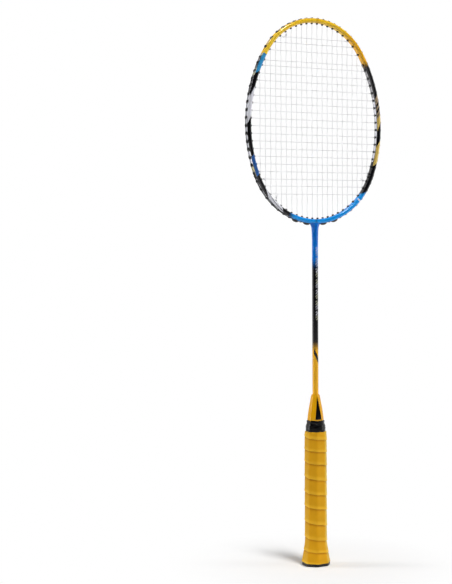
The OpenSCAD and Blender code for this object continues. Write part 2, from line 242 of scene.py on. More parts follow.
class Tree:
    """A node tree that is being wired, for shaders and geometry alike."""

    def __init__(self, tree: bpy.types.NodeTree) -> None:
        """Keeps the tree to which nodes are added."""
        self.tree = tree

    def add(
        self, kind: str, feeds: dict[str | int, Value] | None = None, **settings: object
    ) -> bpy.types.Node:
        """Adds a node.

        Args:
            kind: type of the node.
            feeds: what goes into its inputs, a plain value or another node's output.
            settings: properties of the node.

        Returns:
            The new node.
        """
        node = self.tree.nodes.new(kind)
        for key, setting in settings.items():
            setattr(node, key, setting)
        for key, value in (feeds or {}).items():
            self.feed(node.inputs[key], value)
        return node

    def feed(self, socket: Socket, value: Value) -> None:
        """Sets an input to a plain value, or links an output to it.

        Args:
            socket: the input.
            value: the plain value, or another node's output.
        """
        if isinstance(value, bpy.types.NodeSocket):
            self.tree.links.new(value, socket)
        else:
            socket.default_value = value

    def math(self, operation: str, first: Value, second: Value = 0.0) -> Socket:
        """Returns the result of a sum on one or two values."""
        return self.add("ShaderNodeMath", {0: first, 1: second}, operation=operation).outputs[0]

    def plus(self, first: Value, second: Value) -> Socket:
        """Returns the sum of two values."""
        return self.math("ADD", first, second)

    def minus(self, first: Value, second: Value) -> Socket:
        """Returns the first value less the second."""
        return self.math("SUBTRACT", first, second)

    def times(self, *values: Value) -> Value:
        """Returns the product of the values."""
        return reduce(lambda first, second: self.math("MULTIPLY", first, second), values)

    def ramp(self, value: Value, low: Value, high: Value) -> Socket:
        """Returns a soft step from 0 at low to 1 at high."""
        feeds = {"Value": value, "From Min": low, "From Max": high}
        return self.add("ShaderNodeMapRange", feeds, interpolation_type="SMOOTHSTEP").outputs[0]

    def _mixed(self, kind: str, share: Value, *ends: Value) -> Socket:
        """Mixes two colours or two numbers.

        Args:
            kind: data type of the two.
            share: how far from the first to the second the result lies.
            ends: the two.

        Returns:
            The result.
        """
        first, second, result = MIX_SOCKETS[kind]
        feeds = {0: share, first: ends[0], second: ends[1]}
        return self.add("ShaderNodeMix", feeds, data_type=kind).outputs[result]

    def blend(self, share: Value, first: Value, second: Value) -> Socket:
        """Returns the colour that lies a share of the way from the first to the second."""
        return self._mixed("RGBA", share, first, second)

    def fade(self, share: Value, first: Value, second: Value) -> Socket:
        """Returns the number that lies a share of the way from the first to the second."""
        return self._mixed("FLOAT", share, first, second)

    def split(self, vector: Socket) -> tuple[Socket, Socket, Socket]:
        """Returns the three parts of a vector."""
        outputs = self.add("ShaderNodeSeparateXYZ", {0: vector}).outputs
        return outputs[0], outputs[1], outputs[2]

    def place(self) -> Socket:
        """Returns the place on the piece in millimetres."""
        feeds = {0: self.add("ShaderNodeTexCoord").outputs["Object"], "Scale": TO_MM}
        return self.add("ShaderNodeVectorMath", feeds, operation="SCALE").outputs[0]

    def mark(self, name: str, part: str = "Vector") -> Socket:
        """Returns what the mesh carries under a name."""
        return self.add("ShaderNodeAttribute", attribute_name=name).outputs[part]

    def shared(self, group: bpy.types.NodeTree, **feeds: Value) -> bpy.types.Node:
        """Places a shared group with its own values, and returns its node."""
        named = {spaced(keyword): value for keyword, value in feeds.items()}
        return self.add("ShaderNodeGroup", named, node_tree=group)

    def mask(self, group: bpy.types.NodeTree, **feeds: Value) -> Socket:
        """Returns the mask of a shared group with its own values."""
        return self.shared(group, **feeds).outputs["Mask"]


class SharedEffects:
    """Shader groups that more than one finish uses."""

    BROAD = 0.06
    DETAIL = 4.0
    BAR_SOFT = 0.06

    def __init__(self) -> None:
        """Builds every group once."""
        self.band, self.grain, self.bars = self._band(), self._grain(), self._bars()

    @staticmethod
    def _start(
        name: str, inputs: Sequence[str], outputs: Sequence[str]
    ) -> tuple[Tree, dict[str, Socket]]:
        """Starts a group.

        Args:
            name: name of the group.
            inputs: names of the inputs, which are values apart from Place.
            outputs: names of the outputs, which are all values.

        Returns:
            The group's tree, and its inputs by name.
        """
        group = bpy.data.node_groups.new(name, "ShaderNodeTree")
        for key in inputs:
            kind = "NodeSocketVector" if key == "Place" else "NodeSocketFloat"
            group.interface.new_socket(key, in_out="INPUT", socket_type=kind)
        for key in outputs:
            group.interface.new_socket(key, in_out="OUTPUT", socket_type="NodeSocketFloat")
        tree = Tree(group)
        source = tree.add("NodeGroupInput")
        return tree, {key: source.outputs[key] for key in inputs}

    def _band(self) -> bpy.types.NodeTree:
        """Builds a painted band with slanted, more or less soft ends.

        Returns:
            The group, which puts out the band's mask.
        """
        names = ("Along", "Across", "Start", "End", "Start slant", "End slant", "Softness")
        tree, put = self._start("Slanted band", names, ("Mask",))
        below = tree.times(put["Softness"], -1.0)
        past = []
        for end in ("Start", "End"):
            line = tree.plus(put[end], tree.times(put[end + " slant"], put["Across"]))
            past.append(tree.ramp(tree.minus(put["Along"], line), below, put["Softness"]))
        tree.add("NodeGroupOutput", {"Mask": tree.times(past[0], tree.minus(1.0, past[1]))})
        return tree.tree

    def _grain(self) -> bpy.types.NodeTree:
        """Builds a broad tone, a fine height and a roughness that wander over a surface.

        Returns:
            The group, which puts out the three.
        """
        names = ("Place", "Size", "Roughness", "Spread")
        tree, put = self._start("Fine grain", names, ("Tone", "Height", "Roughness"))
        fine = tree.math("DIVIDE", 1.0, put["Size"])
        tone, height = (
            tree.add(
                "ShaderNodeTexNoise",
                {"Vector": put["Place"], "Scale": scale, "Detail": self.DETAIL},
            ).outputs[0]
            for scale in (tree.times(fine, self.BROAD), fine)
        )
        rough = tree.plus(put["Roughness"], tree.times(tree.minus(tone, 0.5), put["Spread"]))
        tree.add("NodeGroupOutput", {"Tone": tone, "Height": height, "Roughness": rough})
        return tree.tree

    def _bars(self) -> bpy.types.NodeTree:
        """Builds a row of slanted bars.

        Returns:
            The group, which puts out the bars' mask.
        """
        names = ("Along", "Across", "Pitch", "Slant", "Share")
        tree, put = self._start("Slanted bars", names, ("Mask",))
        way = tree.minus(put["Along"], tree.times(put["Slant"], put["Across"]))
        saw = tree.math("FRACT", tree.math("DIVIDE", way, put["Pitch"]))
        off = tree.math("ABSOLUTE", tree.minus(saw, 0.5))
        half = tree.times(put["Share"], 0.5)
        outer, inner = tree.plus(half, self.BAR_SOFT), tree.minus(half, self.BAR_SOFT)
        tree.add("NodeGroupOutput", {"Mask": tree.ramp(off, outer, inner)})
        return tree.tree


@dataclass(frozen=True)
class Job:
    """A material that is being made: its nodes, the shared effects and its grain."""

    tree: Tree
    effects: SharedEffects
    shader: bpy.types.Node
    grain: bpy.types.Node

    def sideways(self, x: Socket, y: Socket) -> Socket:
        """Returns x as it looks to someone who faces the racket's front, or its back."""
        return self.tree.times(x, self.tree.math("SIGN", y), -1.0)


PLAIN_SOCKETS = {
    "Coat Weight": "coat",
    "Coat Roughness": "coat_roughness",
    "Metallic": "metallic",
    "Specular IOR Level": "specular",
    "Transmission Weight": "transmission",
    "Sheen Weight": "sheen",
    "Sheen Tint": "sheen_tint",
}


@dataclass(frozen=True)
class Finish:
    """A finish: what every one has, and a material that is made from it."""

    name: str
    roughness: float = 0.4
    spread: float = 0.15
    grain: float = 0.5
    bump: float = 0.05
    coat: float = 0.0
    coat_roughness: float = 0.05
    metallic: float = 0.0
    specular: float = 0.5
    transmission: float = 0.0
    sheen: float = 0.0
    sheen_tint: Colour = WHITE

    def material(self, effects: SharedEffects) -> bpy.types.Material:
        """Makes the material.

        Args:
            effects: shader groups that finishes share.

        Returns:
            The new material.
        """
        made = bpy.data.materials.new(self.name)
        made.use_nodes = True
        tree, shader = Tree(made.node_tree), made.node_tree.nodes["Principled BSDF"]
        for socket, size in PLAIN_SOCKETS.items():
            shader.inputs[socket].default_value = getattr(self, size)
        grain = tree.shared(
            effects.grain,
            place=tree.place(),
            size=self.grain,
            roughness=self.roughness,
            spread=self.spread,
        )
        job = Job(tree, effects, shader, grain)
        relief = {"Strength": self.bump, "Distance": MM, "Height": self.height(job)}
        tree.feed(shader.inputs["Roughness"], grain.outputs["Roughness"])
        tree.feed(shader.inputs["Normal"], tree.add("ShaderNodeBump", relief).outputs[0])
        tree.feed(shader.inputs["Base Color"], self.colour(job))
        return made

    def height(self, job: Job) -> Socket:
        """Returns the height that the bump reads: plain grain, unless a finish adds to it."""
        return job.grain.outputs["Height"]

    def colour(self, job: Job) -> Socket:
        """Returns the colour over the surface, which each finish gives in its own way."""
        raise NotImplementedError


@dataclass(frozen=True)
class PlainFinish(Finish):
    """One colour that wanders a little in tone."""

    base: Colour = Paint.BLACK.value
    deep: Colour = Paint.BLACK.value

    def colour(self, job: Job) -> Socket:
        """Returns the base colour, drawn towards the deep one by the grain's tone."""
        return job.tree.blend(job.grain.outputs["Tone"], self.base, self.deep)


@dataclass(frozen=True)
class WoodFinish(PlainFinish):
    """Bare wood with rings that run up the handle."""

    ring: float = 1.6
    waver: float = 2.0

    def colour(self, job: Job) -> Socket:
        """Draws pale wood with darker rings.

        Args:
            job: the material that is being made.

        Returns:
            The colour.
        """
        feeds = {"Vector": job.tree.place(), "Scale": 1 / self.ring, "Distortion": self.waver}
        rings = job.tree.add("ShaderNodeTexWave", feeds, bands_direction="X")
        return job.tree.blend(rings.outputs["Fac"], self.base, self.deep)


class Zone(Enum):
    """Part of the hoop's section that a block of paint covers."""

    FACE = "front and back"
    EDGE = "outside and inside"
    RIB = "middle of the outside and inside"
    ALL = "all round"


class Side(Enum):
    """Half of the head, as seen from the front."""

    LEFT = "left half"
    RIGHT = "right half"
    BOTH = "both halves"


@dataclass(frozen=True)
class Arc:
    """One round stretch of the right half of the head, between two angles in degrees."""

    x: float
    z: float
    radius: float
    start: float
    end: float


@dataclass(frozen=True)
class Head:
    """Outer outline of the head, in arcs that meet in tangents, and the sizes of its tube.

    A place on it is the angle of its outward normal, in degrees: -90 at the throat, 0 on the
    right, 90 at the crest and 180 on the left.
    """

    overall: float = 675.0
    half_width: float = 97.0
    up_span: float = 90.0
    low_span: float = 80.0
    up_dir: Flat = (0.8432, 0.5376)
    low_dir: Flat = (0.936, -0.352)
    thick: float = 5.6
    deep: float = 8.4
    groove_d: float = 1.2
    barrel_proud: float = 1.6

    @cached_property
    def arcs(self) -> tuple[Arc, ...]:
        """The arcs of the right half, from the throat to the crest.

        Returns:
            Throat arc, lower side arc, upper side arc and crest arc.
        """
        (up_x, up_z), (low_x, low_z) = self.up_dir, self.low_dir
        crest_r = self.half_width - (1 - up_x) * self.up_span
        up_r = self.half_width + up_x * self.up_span
        throat_r = self.half_width - (1 - low_x) * self.low_span
        low_r = self.half_width + low_x * self.low_span
        crest_z = self.overall - crest_r
        wide_z = crest_z - up_z * self.up_span
        throat_z = wide_z + low_z * self.low_span
        up_phi = math.degrees(math.atan2(up_z, up_x))
        low_phi = math.degrees(math.atan2(low_z, low_x))
        return (
            Arc(0, throat_z, throat_r, -90, low_phi),
            Arc(self.half_width - low_r, wide_z, low_r, low_phi, 0),
            Arc(self.half_width - up_r, wide_z, up_r, 0, up_phi),
            Arc(0, crest_z, crest_r, up_phi, 90),
        )

    @property
    def under(self) -> float:
        """Height of the lowest point of the hoop."""
        return self.arcs[0].z - self.arcs[0].radius

    def rim(self, phi: float, depth: float = 0.0) -> Flat:
        """Finds a point of the hoop.

        Args:
            phi: angle of the outward normal.
            depth: how far below the outer face the point lies.

        Returns:
            The point's x and z.
        """
        right = phi if phi <= 90 else 180 - phi
        arc = next((a for a in self.arcs if right <= a.end), self.arcs[-1])
        reach = arc.radius - depth
        x = arc.x + reach * math.cos(math.radians(right))
        return (x if phi <= 90 else -x, arc.z + reach * math.sin(math.radians(right)))

    def fall(self, phi: float) -> float:
        """Returns the way along the outer face from the crest down to an angle."""
        right = phi if phi <= 90 else 180 - phi
        return sum(a.radius * math.radians(max(0.0, a.end - max(a.start, right))) for a in self.arcs)

    def fall_at(self, z: float) -> float:
        """Returns the way along the outer face from the crest down to a height."""
        return self.fall(solve(lambda phi: self.rim(phi)[1] - z, -90, 90))

    def after_fall(self, way: float) -> float:
        """Returns the angle on the right that lies a way down from the crest."""
        return solve(lambda phi: way - self.fall(phi), -90, 90)

    def stations(self, step: float) -> list[float]:
        """Spaces angles evenly round the hoop.

        Args:
            step: about the distance from one to the next.

        Returns:
            The angles, from the crest down the right and up the left.
        """
        half = self.fall(-90)
        count = round(half / step)
        right = [self.after_fall(half * k / count) for k in range(count)]
        return [*right, -90.0, *(180 - phi for phi in reversed(right[1:]))]


@dataclass(frozen=True)
class Block:
    """A block of paint on the hoop, between two heights on one side."""

    side: Side
    top: float
    foot: float
    paint: Paint
    zone: Zone = Zone.FACE
    top_slant: float = 0.0
    foot_slant: float = 0.0
    soft: float = 0.3
    shine: float = 0.0
    bars: float = 0.0


@dataclass(frozen=True)
class HoopPaint(Finish):
    """Lacquer of the hoop, in blocks that follow it round."""

    head: Head = Head()
    edge: Flat = (2.8, 3.1)
    rib: Flat = (1.9, 2.1)
    bar_share: float = 0.5
    blocks: tuple[Block, ...] = ()

    def colour(self, job: Job) -> Socket:
        """Lays the blocks over black, and gives their shine to the shader.

        Args:
            job: the material that is being made.

        Returns:
            The colour.
        """
        tree, effects = job.tree, job.effects
        fall, depth, front = tree.split(tree.mark("hoop"))
        across = tree.minus(depth, self.head.thick / 2)
        right = tree.math("GREATER_THAN", tree.split(tree.place())[0], 0.0)
        off = tree.math("ABSOLUTE", front)
        face = tree.ramp(off, *self.edge)
        gates = {
            Side.RIGHT: right,
            Side.LEFT: tree.minus(1.0, right),
            Zone.FACE: face,
            Zone.EDGE: tree.minus(1.0, face),
            Zone.RIB: tree.minus(1.0, tree.ramp(off, *self.rib)),
        }
        colour: Value = Paint.BLACK.value
        shine: Value = 0.0
        for block in self.blocks:
            band = tree.mask(
                effects.band,
                along=fall,
                across=across,
                start=self.head.fall_at(block.top),
                end=self.head.fall_at(block.foot),
                start_slant=block.top_slant,
                end_slant=block.foot_slant,
                softness=block.soft,
            )
            masks = [band, *(gates[key] for key in (block.side, block.zone) if key in gates)]
            if block.bars:
                bars = tree.mask(
                    effects.bars,
                    along=fall,
                    across=across,
                    pitch=block.bars,
                    slant=block.top_slant,
                    share=self.bar_share,
                )
                masks.append(bars)
            mask = tree.times(*masks)
            colour = tree.blend(mask, colour, block.paint.value)
            shine = tree.fade(mask, shine, block.shine)
        tree.feed(job.shader.inputs["Metallic"], shine)
        return colour


@dataclass(frozen=True)
class ShaftPaint(Finish):
    """Lacquer of the shaft: blue over black over yellow, with a slash and a row of ticks."""

    blue_foot: float = 372.5
    blue_soft: float = 10.0
    yellow_top: float = 273.5
    yellow_soft: float = 9.0
    fade_power: float = 2.0
    slash_top: float = 262.5
    slash_foot: float = 255.3
    slash_slant: float = 0.131
    slash_soft: float = 0.5
    slash_window: float = 60.0
    tick_top: float = 397.0
    tick_foot: float = 304.0
    tick_soft: float = 1.0
    tick_pitch: float = 3.3
    tick_share: float = 0.55
    tick_slant: float = 0.05
    tick_window: Flat = (-22.0, 44.0)
    tick_strength: float = 0.5
    group_pitch: float = 13.2
    group_share: float = 0.8

    def colour(self, job: Job) -> Socket:
        """Draws the fades up the shaft, with the slash and ticks on its front and back.

        Args:
            job: the material that is being made.

        Returns:
            The colour.
        """
        tree, band, bars = job.tree, job.effects.band, job.effects.bars
        x, y, z = tree.split(tree.place())
        fall = tree.times(z, -1.0)
        angle = tree.math("ARCTAN2", job.sideways(x, y), tree.math("ABSOLUTE", y))
        degrees = tree.math("DEGREES", angle)
        colour: Value = Paint.BLACK.value
        for way, line, soft, paint in (
            (z, self.blue_foot, self.blue_soft, Paint.BLUE),
            (fall, -self.yellow_top, self.yellow_soft, Paint.YELLOW),
        ):
            share = tree.math("POWER", tree.ramp(way, line - soft, line + soft), self.fade_power)
            colour = tree.blend(share, colour, paint.value)
        slash = tree.mask(
            band,
            along=fall,
            across=degrees,
            start=-self.slash_top,
            end=-self.slash_foot,
            start_slant=self.slash_slant,
            end_slant=self.slash_slant,
            softness=self.slash_soft,
        )
        near = tree.math("LESS_THAN", tree.math("ABSOLUTE", degrees), self.slash_window)
        colour = tree.blend(tree.times(slash, near), colour, Paint.BLACK.value)
        row = tree.mask(
            band, along=fall, start=-self.tick_top, end=-self.tick_foot, softness=self.tick_soft
        )
        each = tree.mask(
            bars,
            along=z,
            across=degrees,
            pitch=self.tick_pitch,
            slant=self.tick_slant,
            share=self.tick_share,
        )
        group = tree.mask(bars, along=z, pitch=self.group_pitch, share=self.group_share)
        other = tree.mask(bars, along=z, pitch=2 * self.group_pitch, share=0.5)
        after = tree.math("GREATER_THAN", degrees, self.tick_window[0])
        before = tree.math("LESS_THAN", degrees, self.tick_window[1])
        ticks = tree.times(each, row, after, before, group, self.tick_strength)
        shade = tree.blend(other, Paint.SILVER.value, Paint.CREAM.value)
        return tree.blend(ticks, colour, shade)


@dataclass(frozen=True)
class ConePaint(Finish):
    """Smooth yellow plastic with a plain black wedge on its front and back facets."""

    apex: Flat = (-1.3, 212.0)
    base_z: float = 181.8
    base: Flat = (-5.4, 2.9)
    line: float = 0.1
    deep: Colour = tint(226, 160, 10)

    def colour(self, job: Job) -> Socket:
        """Draws yellow with the wedge, which narrows upwards and leans to one side.

        Args:
            job: the material that is being made.

        Returns:
            The colour.
        """
        tree, (tip, top) = job.tree, self.apex
        x, y, z = tree.split(tree.place())
        yellow = tree.blend(job.grain.outputs["Tone"], Paint.YELLOW.value, self.deep)
        sideways = job.sideways(x, y)
        down = tree.math("DIVIDE", tree.minus(top, z), top - self.base_z)
        left, right = (tree.plus(tree.times(down, foot - tip), tip) for foot in self.base)
        inside = tree.math("MINIMUM", tree.minus(sideways, left), tree.minus(right, sideways))
        wedge = tree.ramp(inside, -self.line, self.line)
        above = tree.ramp(z, self.base_z - self.line, self.base_z + self.line)
        flat = tree.math("GREATER_THAN", tree.math("ABSOLUTE", y), tree.math("ABSOLUTE", x))
        return tree.blend(tree.times(wedge, above, flat), yellow, Paint.BLACK.value)


@dataclass(frozen=True)
class GripFinish(Finish):
    """Soft synthetic leather of the grip tape, whose pattern follows the winding."""

    base: Colour = tint(226, 163, 10)
    deep: Colour = tint(217, 153, 6)
    # Painted shade where the next turn covers the tape, and painted highlight on each turn's lapped
    # edge, which tilts up to the light
    painted_shade: Colour = tint(200, 128, 0)
    painted_highlight: Colour = tint(236, 180, 38)
    pebble: float = 0.55
    painted_shade_share: Flat = (0.8, 1.0)
    painted_highlight_share: Flat = (0.3, 0.08)

    def height(self, job: Job) -> Socket:
        """Lays the tape's pebbled skin over its grain.

        Args:
            job: the material that is being made.

        Returns:
            The height.
        """
        feeds = {"Vector": job.tree.mark("tape"), "Scale": 1 / self.pebble}
        pebbles = job.tree.add("ShaderNodeTexVoronoi", feeds, feature="SMOOTH_F1")
        return job.tree.plus(super().height(job), pebbles.outputs["Distance"])

    def colour(self, job: Job) -> Socket:
        """Draws yellow, with a painted highlight on each turn's lapped edge, which tilts up to the
        light, and painted shade where the next turn covers it.

        Args:
            job: the material that is being made.

        Returns:
            The colour.
        """
        tree = job.tree
        _, _, share = tree.split(tree.mark("tape"))
        colour = tree.blend(job.grain.outputs["Tone"], self.base, self.deep)
        # Painted highlight on the lapped edge, then painted shade where the next turn covers it
        colour = tree.blend(tree.ramp(share, *self.painted_highlight_share), colour, self.painted_highlight)
        return tree.blend(tree.ramp(share, *self.painted_shade_share), colour, self.painted_shade)


@dataclass(frozen=True)
class StringFinish(PlainFinish):
    """White string with the fine twist of its outer fibres."""

    pitch: float = 1.1
    twist: float = 3.0
    ridge: float = 0.5

    def height(self, job: Job) -> Socket:
        """Winds ridges round the string.

        Args:
            job: the material that is being made.

        Returns:
            The height.
        """
        tree = job.tree
        along = tree.math("DIVIDE", tree.mark("way", "Fac"), self.pitch * MM)
        turn = tree.plus(along, tree.times(tree.mark("round", "Fac"), self.twist))
        wave = tree.math("SINE", tree.times(turn, math.tau))
        return tree.plus(super().height(job), tree.times(wave, self.ridge))


class Wardrobe:
    """The racket's materials, each made once."""

    LEFT_SLANT = -1.5
    RIGHT_SLANT = 1.35
    LACQUER = {"coat_roughness": 0.1, "bump": 0.02, "grain": 0.35, "specular": 0.0}
    SILVER_SHINE = 0.12
    GOLD_SHINE = 0.2

    def __init__(self, head: Head) -> None:
        """Makes every material.

        Args:
            head: head that the hoop's blocks of paint follow.
        """
        self.effects = SharedEffects()
        blocks = self._blocks(head)
        self.hoop = self._make(
            HoopPaint("hoop_lacquer", coat=1.0, head=head, blocks=blocks, **self.LACQUER)
        )
        self.throat = self._make(
            PlainFinish(
                "throat_lacquer",
                coat=0.5,
                base=Paint.BLUE.value,
                deep=tint(8, 100, 194),
                **self.LACQUER,
            )
        )
        self.shaft = self._make(ShaftPaint("shaft_lacquer", coat=0.5, **self.LACQUER))
        self.cone = self._make(
            ConePaint("cone_plastic", coat=0.5, coat_roughness=0.15, grain=0.4, specular=0.0)
        )
        self.grip = self._make(
            GripFinish(
                "grip_leather",
                roughness=0.62,
                spread=0.2,
                grain=0.3,
                bump=0.22,
                specular=0.1,
                sheen=0.5,
                sheen_tint=tint(228, 255, 150),
            )
        )
        self.vinyl = self._plain(
            "vinyl", (2, 2, 3), (6, 6, 7), roughness=0.25, specular=0.2, spread=0.08, grain=0.8
        )
        self.nylon = self._plain("grommet_nylon", (22, 21, 24), (12, 12, 14), roughness=0.45)
        self.string = self._make(
            StringFinish(
                "string_fibre",
                grain=0.2,
                bump=0.15,
                transmission=0.75,
                base=tint(246, 246, 248),
                deep=tint(238, 238, 242),
            )
        )
        self.butt = self._plain(
            "butt_plastic", (11, 10, 14), (30, 30, 34), roughness=0.55, grain=0.25, bump=0.25
        )
        self.wood = self._make(
            WoodFinish(
                "handle_wood", roughness=0.6, base=tint(214, 178, 130), deep=tint(180, 138, 90)
            )
        )
        self.steel = self._plain(
            "tack_steel", (200, 200, 204), (160, 160, 166), roughness=0.3, metallic=1.0
        )
        self.disc = self._plain("badge_plastic", (150, 151, 156), (132, 133, 138), roughness=0.5)
        self.insert = self._plain(
            "insert_fibre", (11, 10, 14), (48, 48, 52), roughness=0.5, grain=0.7, bump=0.2
        )

    def _make(self, finish: Finish) -> bpy.types.Material:
        """Returns the material of a finish."""
        return finish.material(self.effects)

    def _plain(
        self,
        name: str,
        base: tuple[int, int, int],
        deep: tuple[int, int, int],
        **sizes: float,
    ) -> bpy.types.Material:
        """Returns the material of a plain finish between two screen colours."""
        return self._make(PlainFinish(name, base=tint(*base), deep=tint(*deep), **sizes))

    def _blocks(self, head: Head) -> tuple[Block, ...]:
        """Lists the hoop's blocks of paint.

        Args:
            head: head that they follow.

        Returns:
            The blocks, each laid over the ones before it.
        """
        left, right, both = Side
        face, edge, rib, around = Zone
        down, up = self.LEFT_SLANT, self.RIGHT_SLANT
        crest, throat = head.overall, head.under
        silver, gold = {"shine": self.SILVER_SHINE}, {"shine": self.GOLD_SHINE}
        return (
            Block(left, 629, 624, Paint.CREAM, edge),
            Block(left, 611, 602, Paint.CREAM, edge),
            Block(left, 602, 587, Paint.GREY, edge, down, down, bars=5.0),
            Block(left, 580, 549, Paint.SILVER, edge, **silver),
            Block(left, 549, 510, Paint.SILVER, rib, **silver),
            Block(left, 510, 495, Paint.SILVER, edge, **silver),
            Block(left, 495, 480, Paint.OLIVE, edge, **gold),
            Block(left, 478, 457, Paint.GREY, edge, down, down, bars=2.4),
            Block(right, 618, 583, Paint.GREY, rib),
            Block(right, 583, 500, Paint.SILVER, rib, **silver),
            Block(left, 632, 606.6, Paint.AZURE, face, -0.8, -1.0),
            Block(left, 584, 550, Paint.SILVER, face, -3.0, -2.4, **silver),
            Block(left, 505, 481, Paint.NAVY, face, -0.65, -0.5),
            Block(left, 460, 438.7, Paint.SILVER, face, -3.0, -1.2, **silver),
            Block(left, 448.6, 444.6, Paint.BLACK, face, -9.0, -9.0),
            Block(right, 584, 558, Paint.BRONZE, face, up, up, **gold),
            Block(right, 580, 561, Paint.BLACK, face, up, up, bars=7.0),
            Block(right, 559, 547, Paint.GOLD, face, up, 2.7, **gold),
            Block(right, 524.5, 497.5, Paint.GOLD, face, 1.9, up, **gold),
            Block(right, 460, throat, Paint.SKY, around, up, soft=3.0),
            Block(left, 431.4, throat, Paint.SKY, around, soft=5.0),
            Block(right, 451.6, 450.2, Paint.SILVER, face),
            # Painted light on the crest: the left half is paler straw for painted highlight, the
            # right half deeper yellow for painted shade, and the lemon band at the top joins the two
            Block(left, crest, 629, Paint.PAINTED_HIGHLIGHT_STRAW, around),
            Block(right, crest, 624.5, Paint.YELLOW, around, soft=5.5),
            Block(both, crest + 1, crest - 16, Paint.LEMON, around, soft=14.0),
        )


def wear(piece: bpy.types.Object, material: bpy.types.Material) -> None:
    """Gives a piece one material in place of any it had."""
    piece.data.materials.clear()
    piece.data.materials.append(material)


def settle(
    piece: bpy.types.Object, material: bpy.types.Material, slot: str, *nodes: str
) -> None:
    """Dresses a finished piece and sets it on the racket.

    Args:
        piece: the piece, at the origin.
        material: its material.
        slot: the record's material slot for it; not used.
        nodes: solids that it stands for.
    """
    wear(piece, material)
    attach(piece, BODY)
    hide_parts(*nodes)
    log.info("%s: %d faces, for %s", piece.name, len(piece.data.polygons), ", ".join(nodes))


@dataclass(frozen=True)
class HeadHoop:
    """Moulded tube of the head, with the string groove in its outer face."""

    head: Head
    corner: float = 2.2
    corner_points: int = 7
    groove_w: float = 3.8
    groove_round: float = 0.3
    groove_mid: Flat = (0.1, 0.09)
    lip: float = 0.15
    lip_steps: tuple[Flat, ...] = ((2.0, 0.0), (0.7, 0.3))
    step: float = 1.0

    def half_section(self) -> list[Flat]:
        """Draws the front half of the section.

        Returns:
            Depth and y of each point, from the middle of the groove to that of the inner face.
        """
        wall, floor, thick = self.groove_w / 2, self.head.groove_d, self.head.thick
        centre = self.head.deep / 2 - self.corner
        start = math.asin((wall + self.lip - centre) / self.corner)
        shares = [k / self.corner_points for k in range(self.corner_points + 1)]
        outer, inner = (
            [
                (self.corner * (1 - math.cos(a)), centre + self.corner * math.sin(a))
                for a in (mix(first, math.pi / 2, share) for share in shares)
            ]
            for first in (start, 0.0)
        )
        return [
            (floor, 0.0),
            (floor, wall - self.groove_round),
            (floor - self.groove_mid[0], wall - self.groove_mid[1]),
            (floor - self.groove_round, wall),
            *((depth * self.lip, wall + out * self.lip) for depth, out in self.lip_steps),
            *outer,
            *((thick - depth, y) for depth, y in reversed(inner)),
            (thick, 0.0),
        ]

    def build(self, wardrobe: Wardrobe) -> None:
        """Sweeps the section round the outline and paints it.

        Args:
            wardrobe: materials.
        """
        half = self.half_section()
        section = [*half, *((depth, -y) for depth, y in reversed(half[1:-1]))]
        rings, marks = [], []
        for phi in self.head.stations(self.step):
            spots = [(self.head.rim(phi, depth), y) for depth, y in section]
            rings.append([(x, y, z) for (x, z), y in spots])
            fall = self.head.fall(phi)
            marks.extend((fall, depth, y) for depth, y in section)
        hoop = Skin(rings, looped=True, marks={"hoop": marks}).build("head_hoop")
        settle(hoop, wardrobe.hoop, "frame_paint", "frame_hoop")


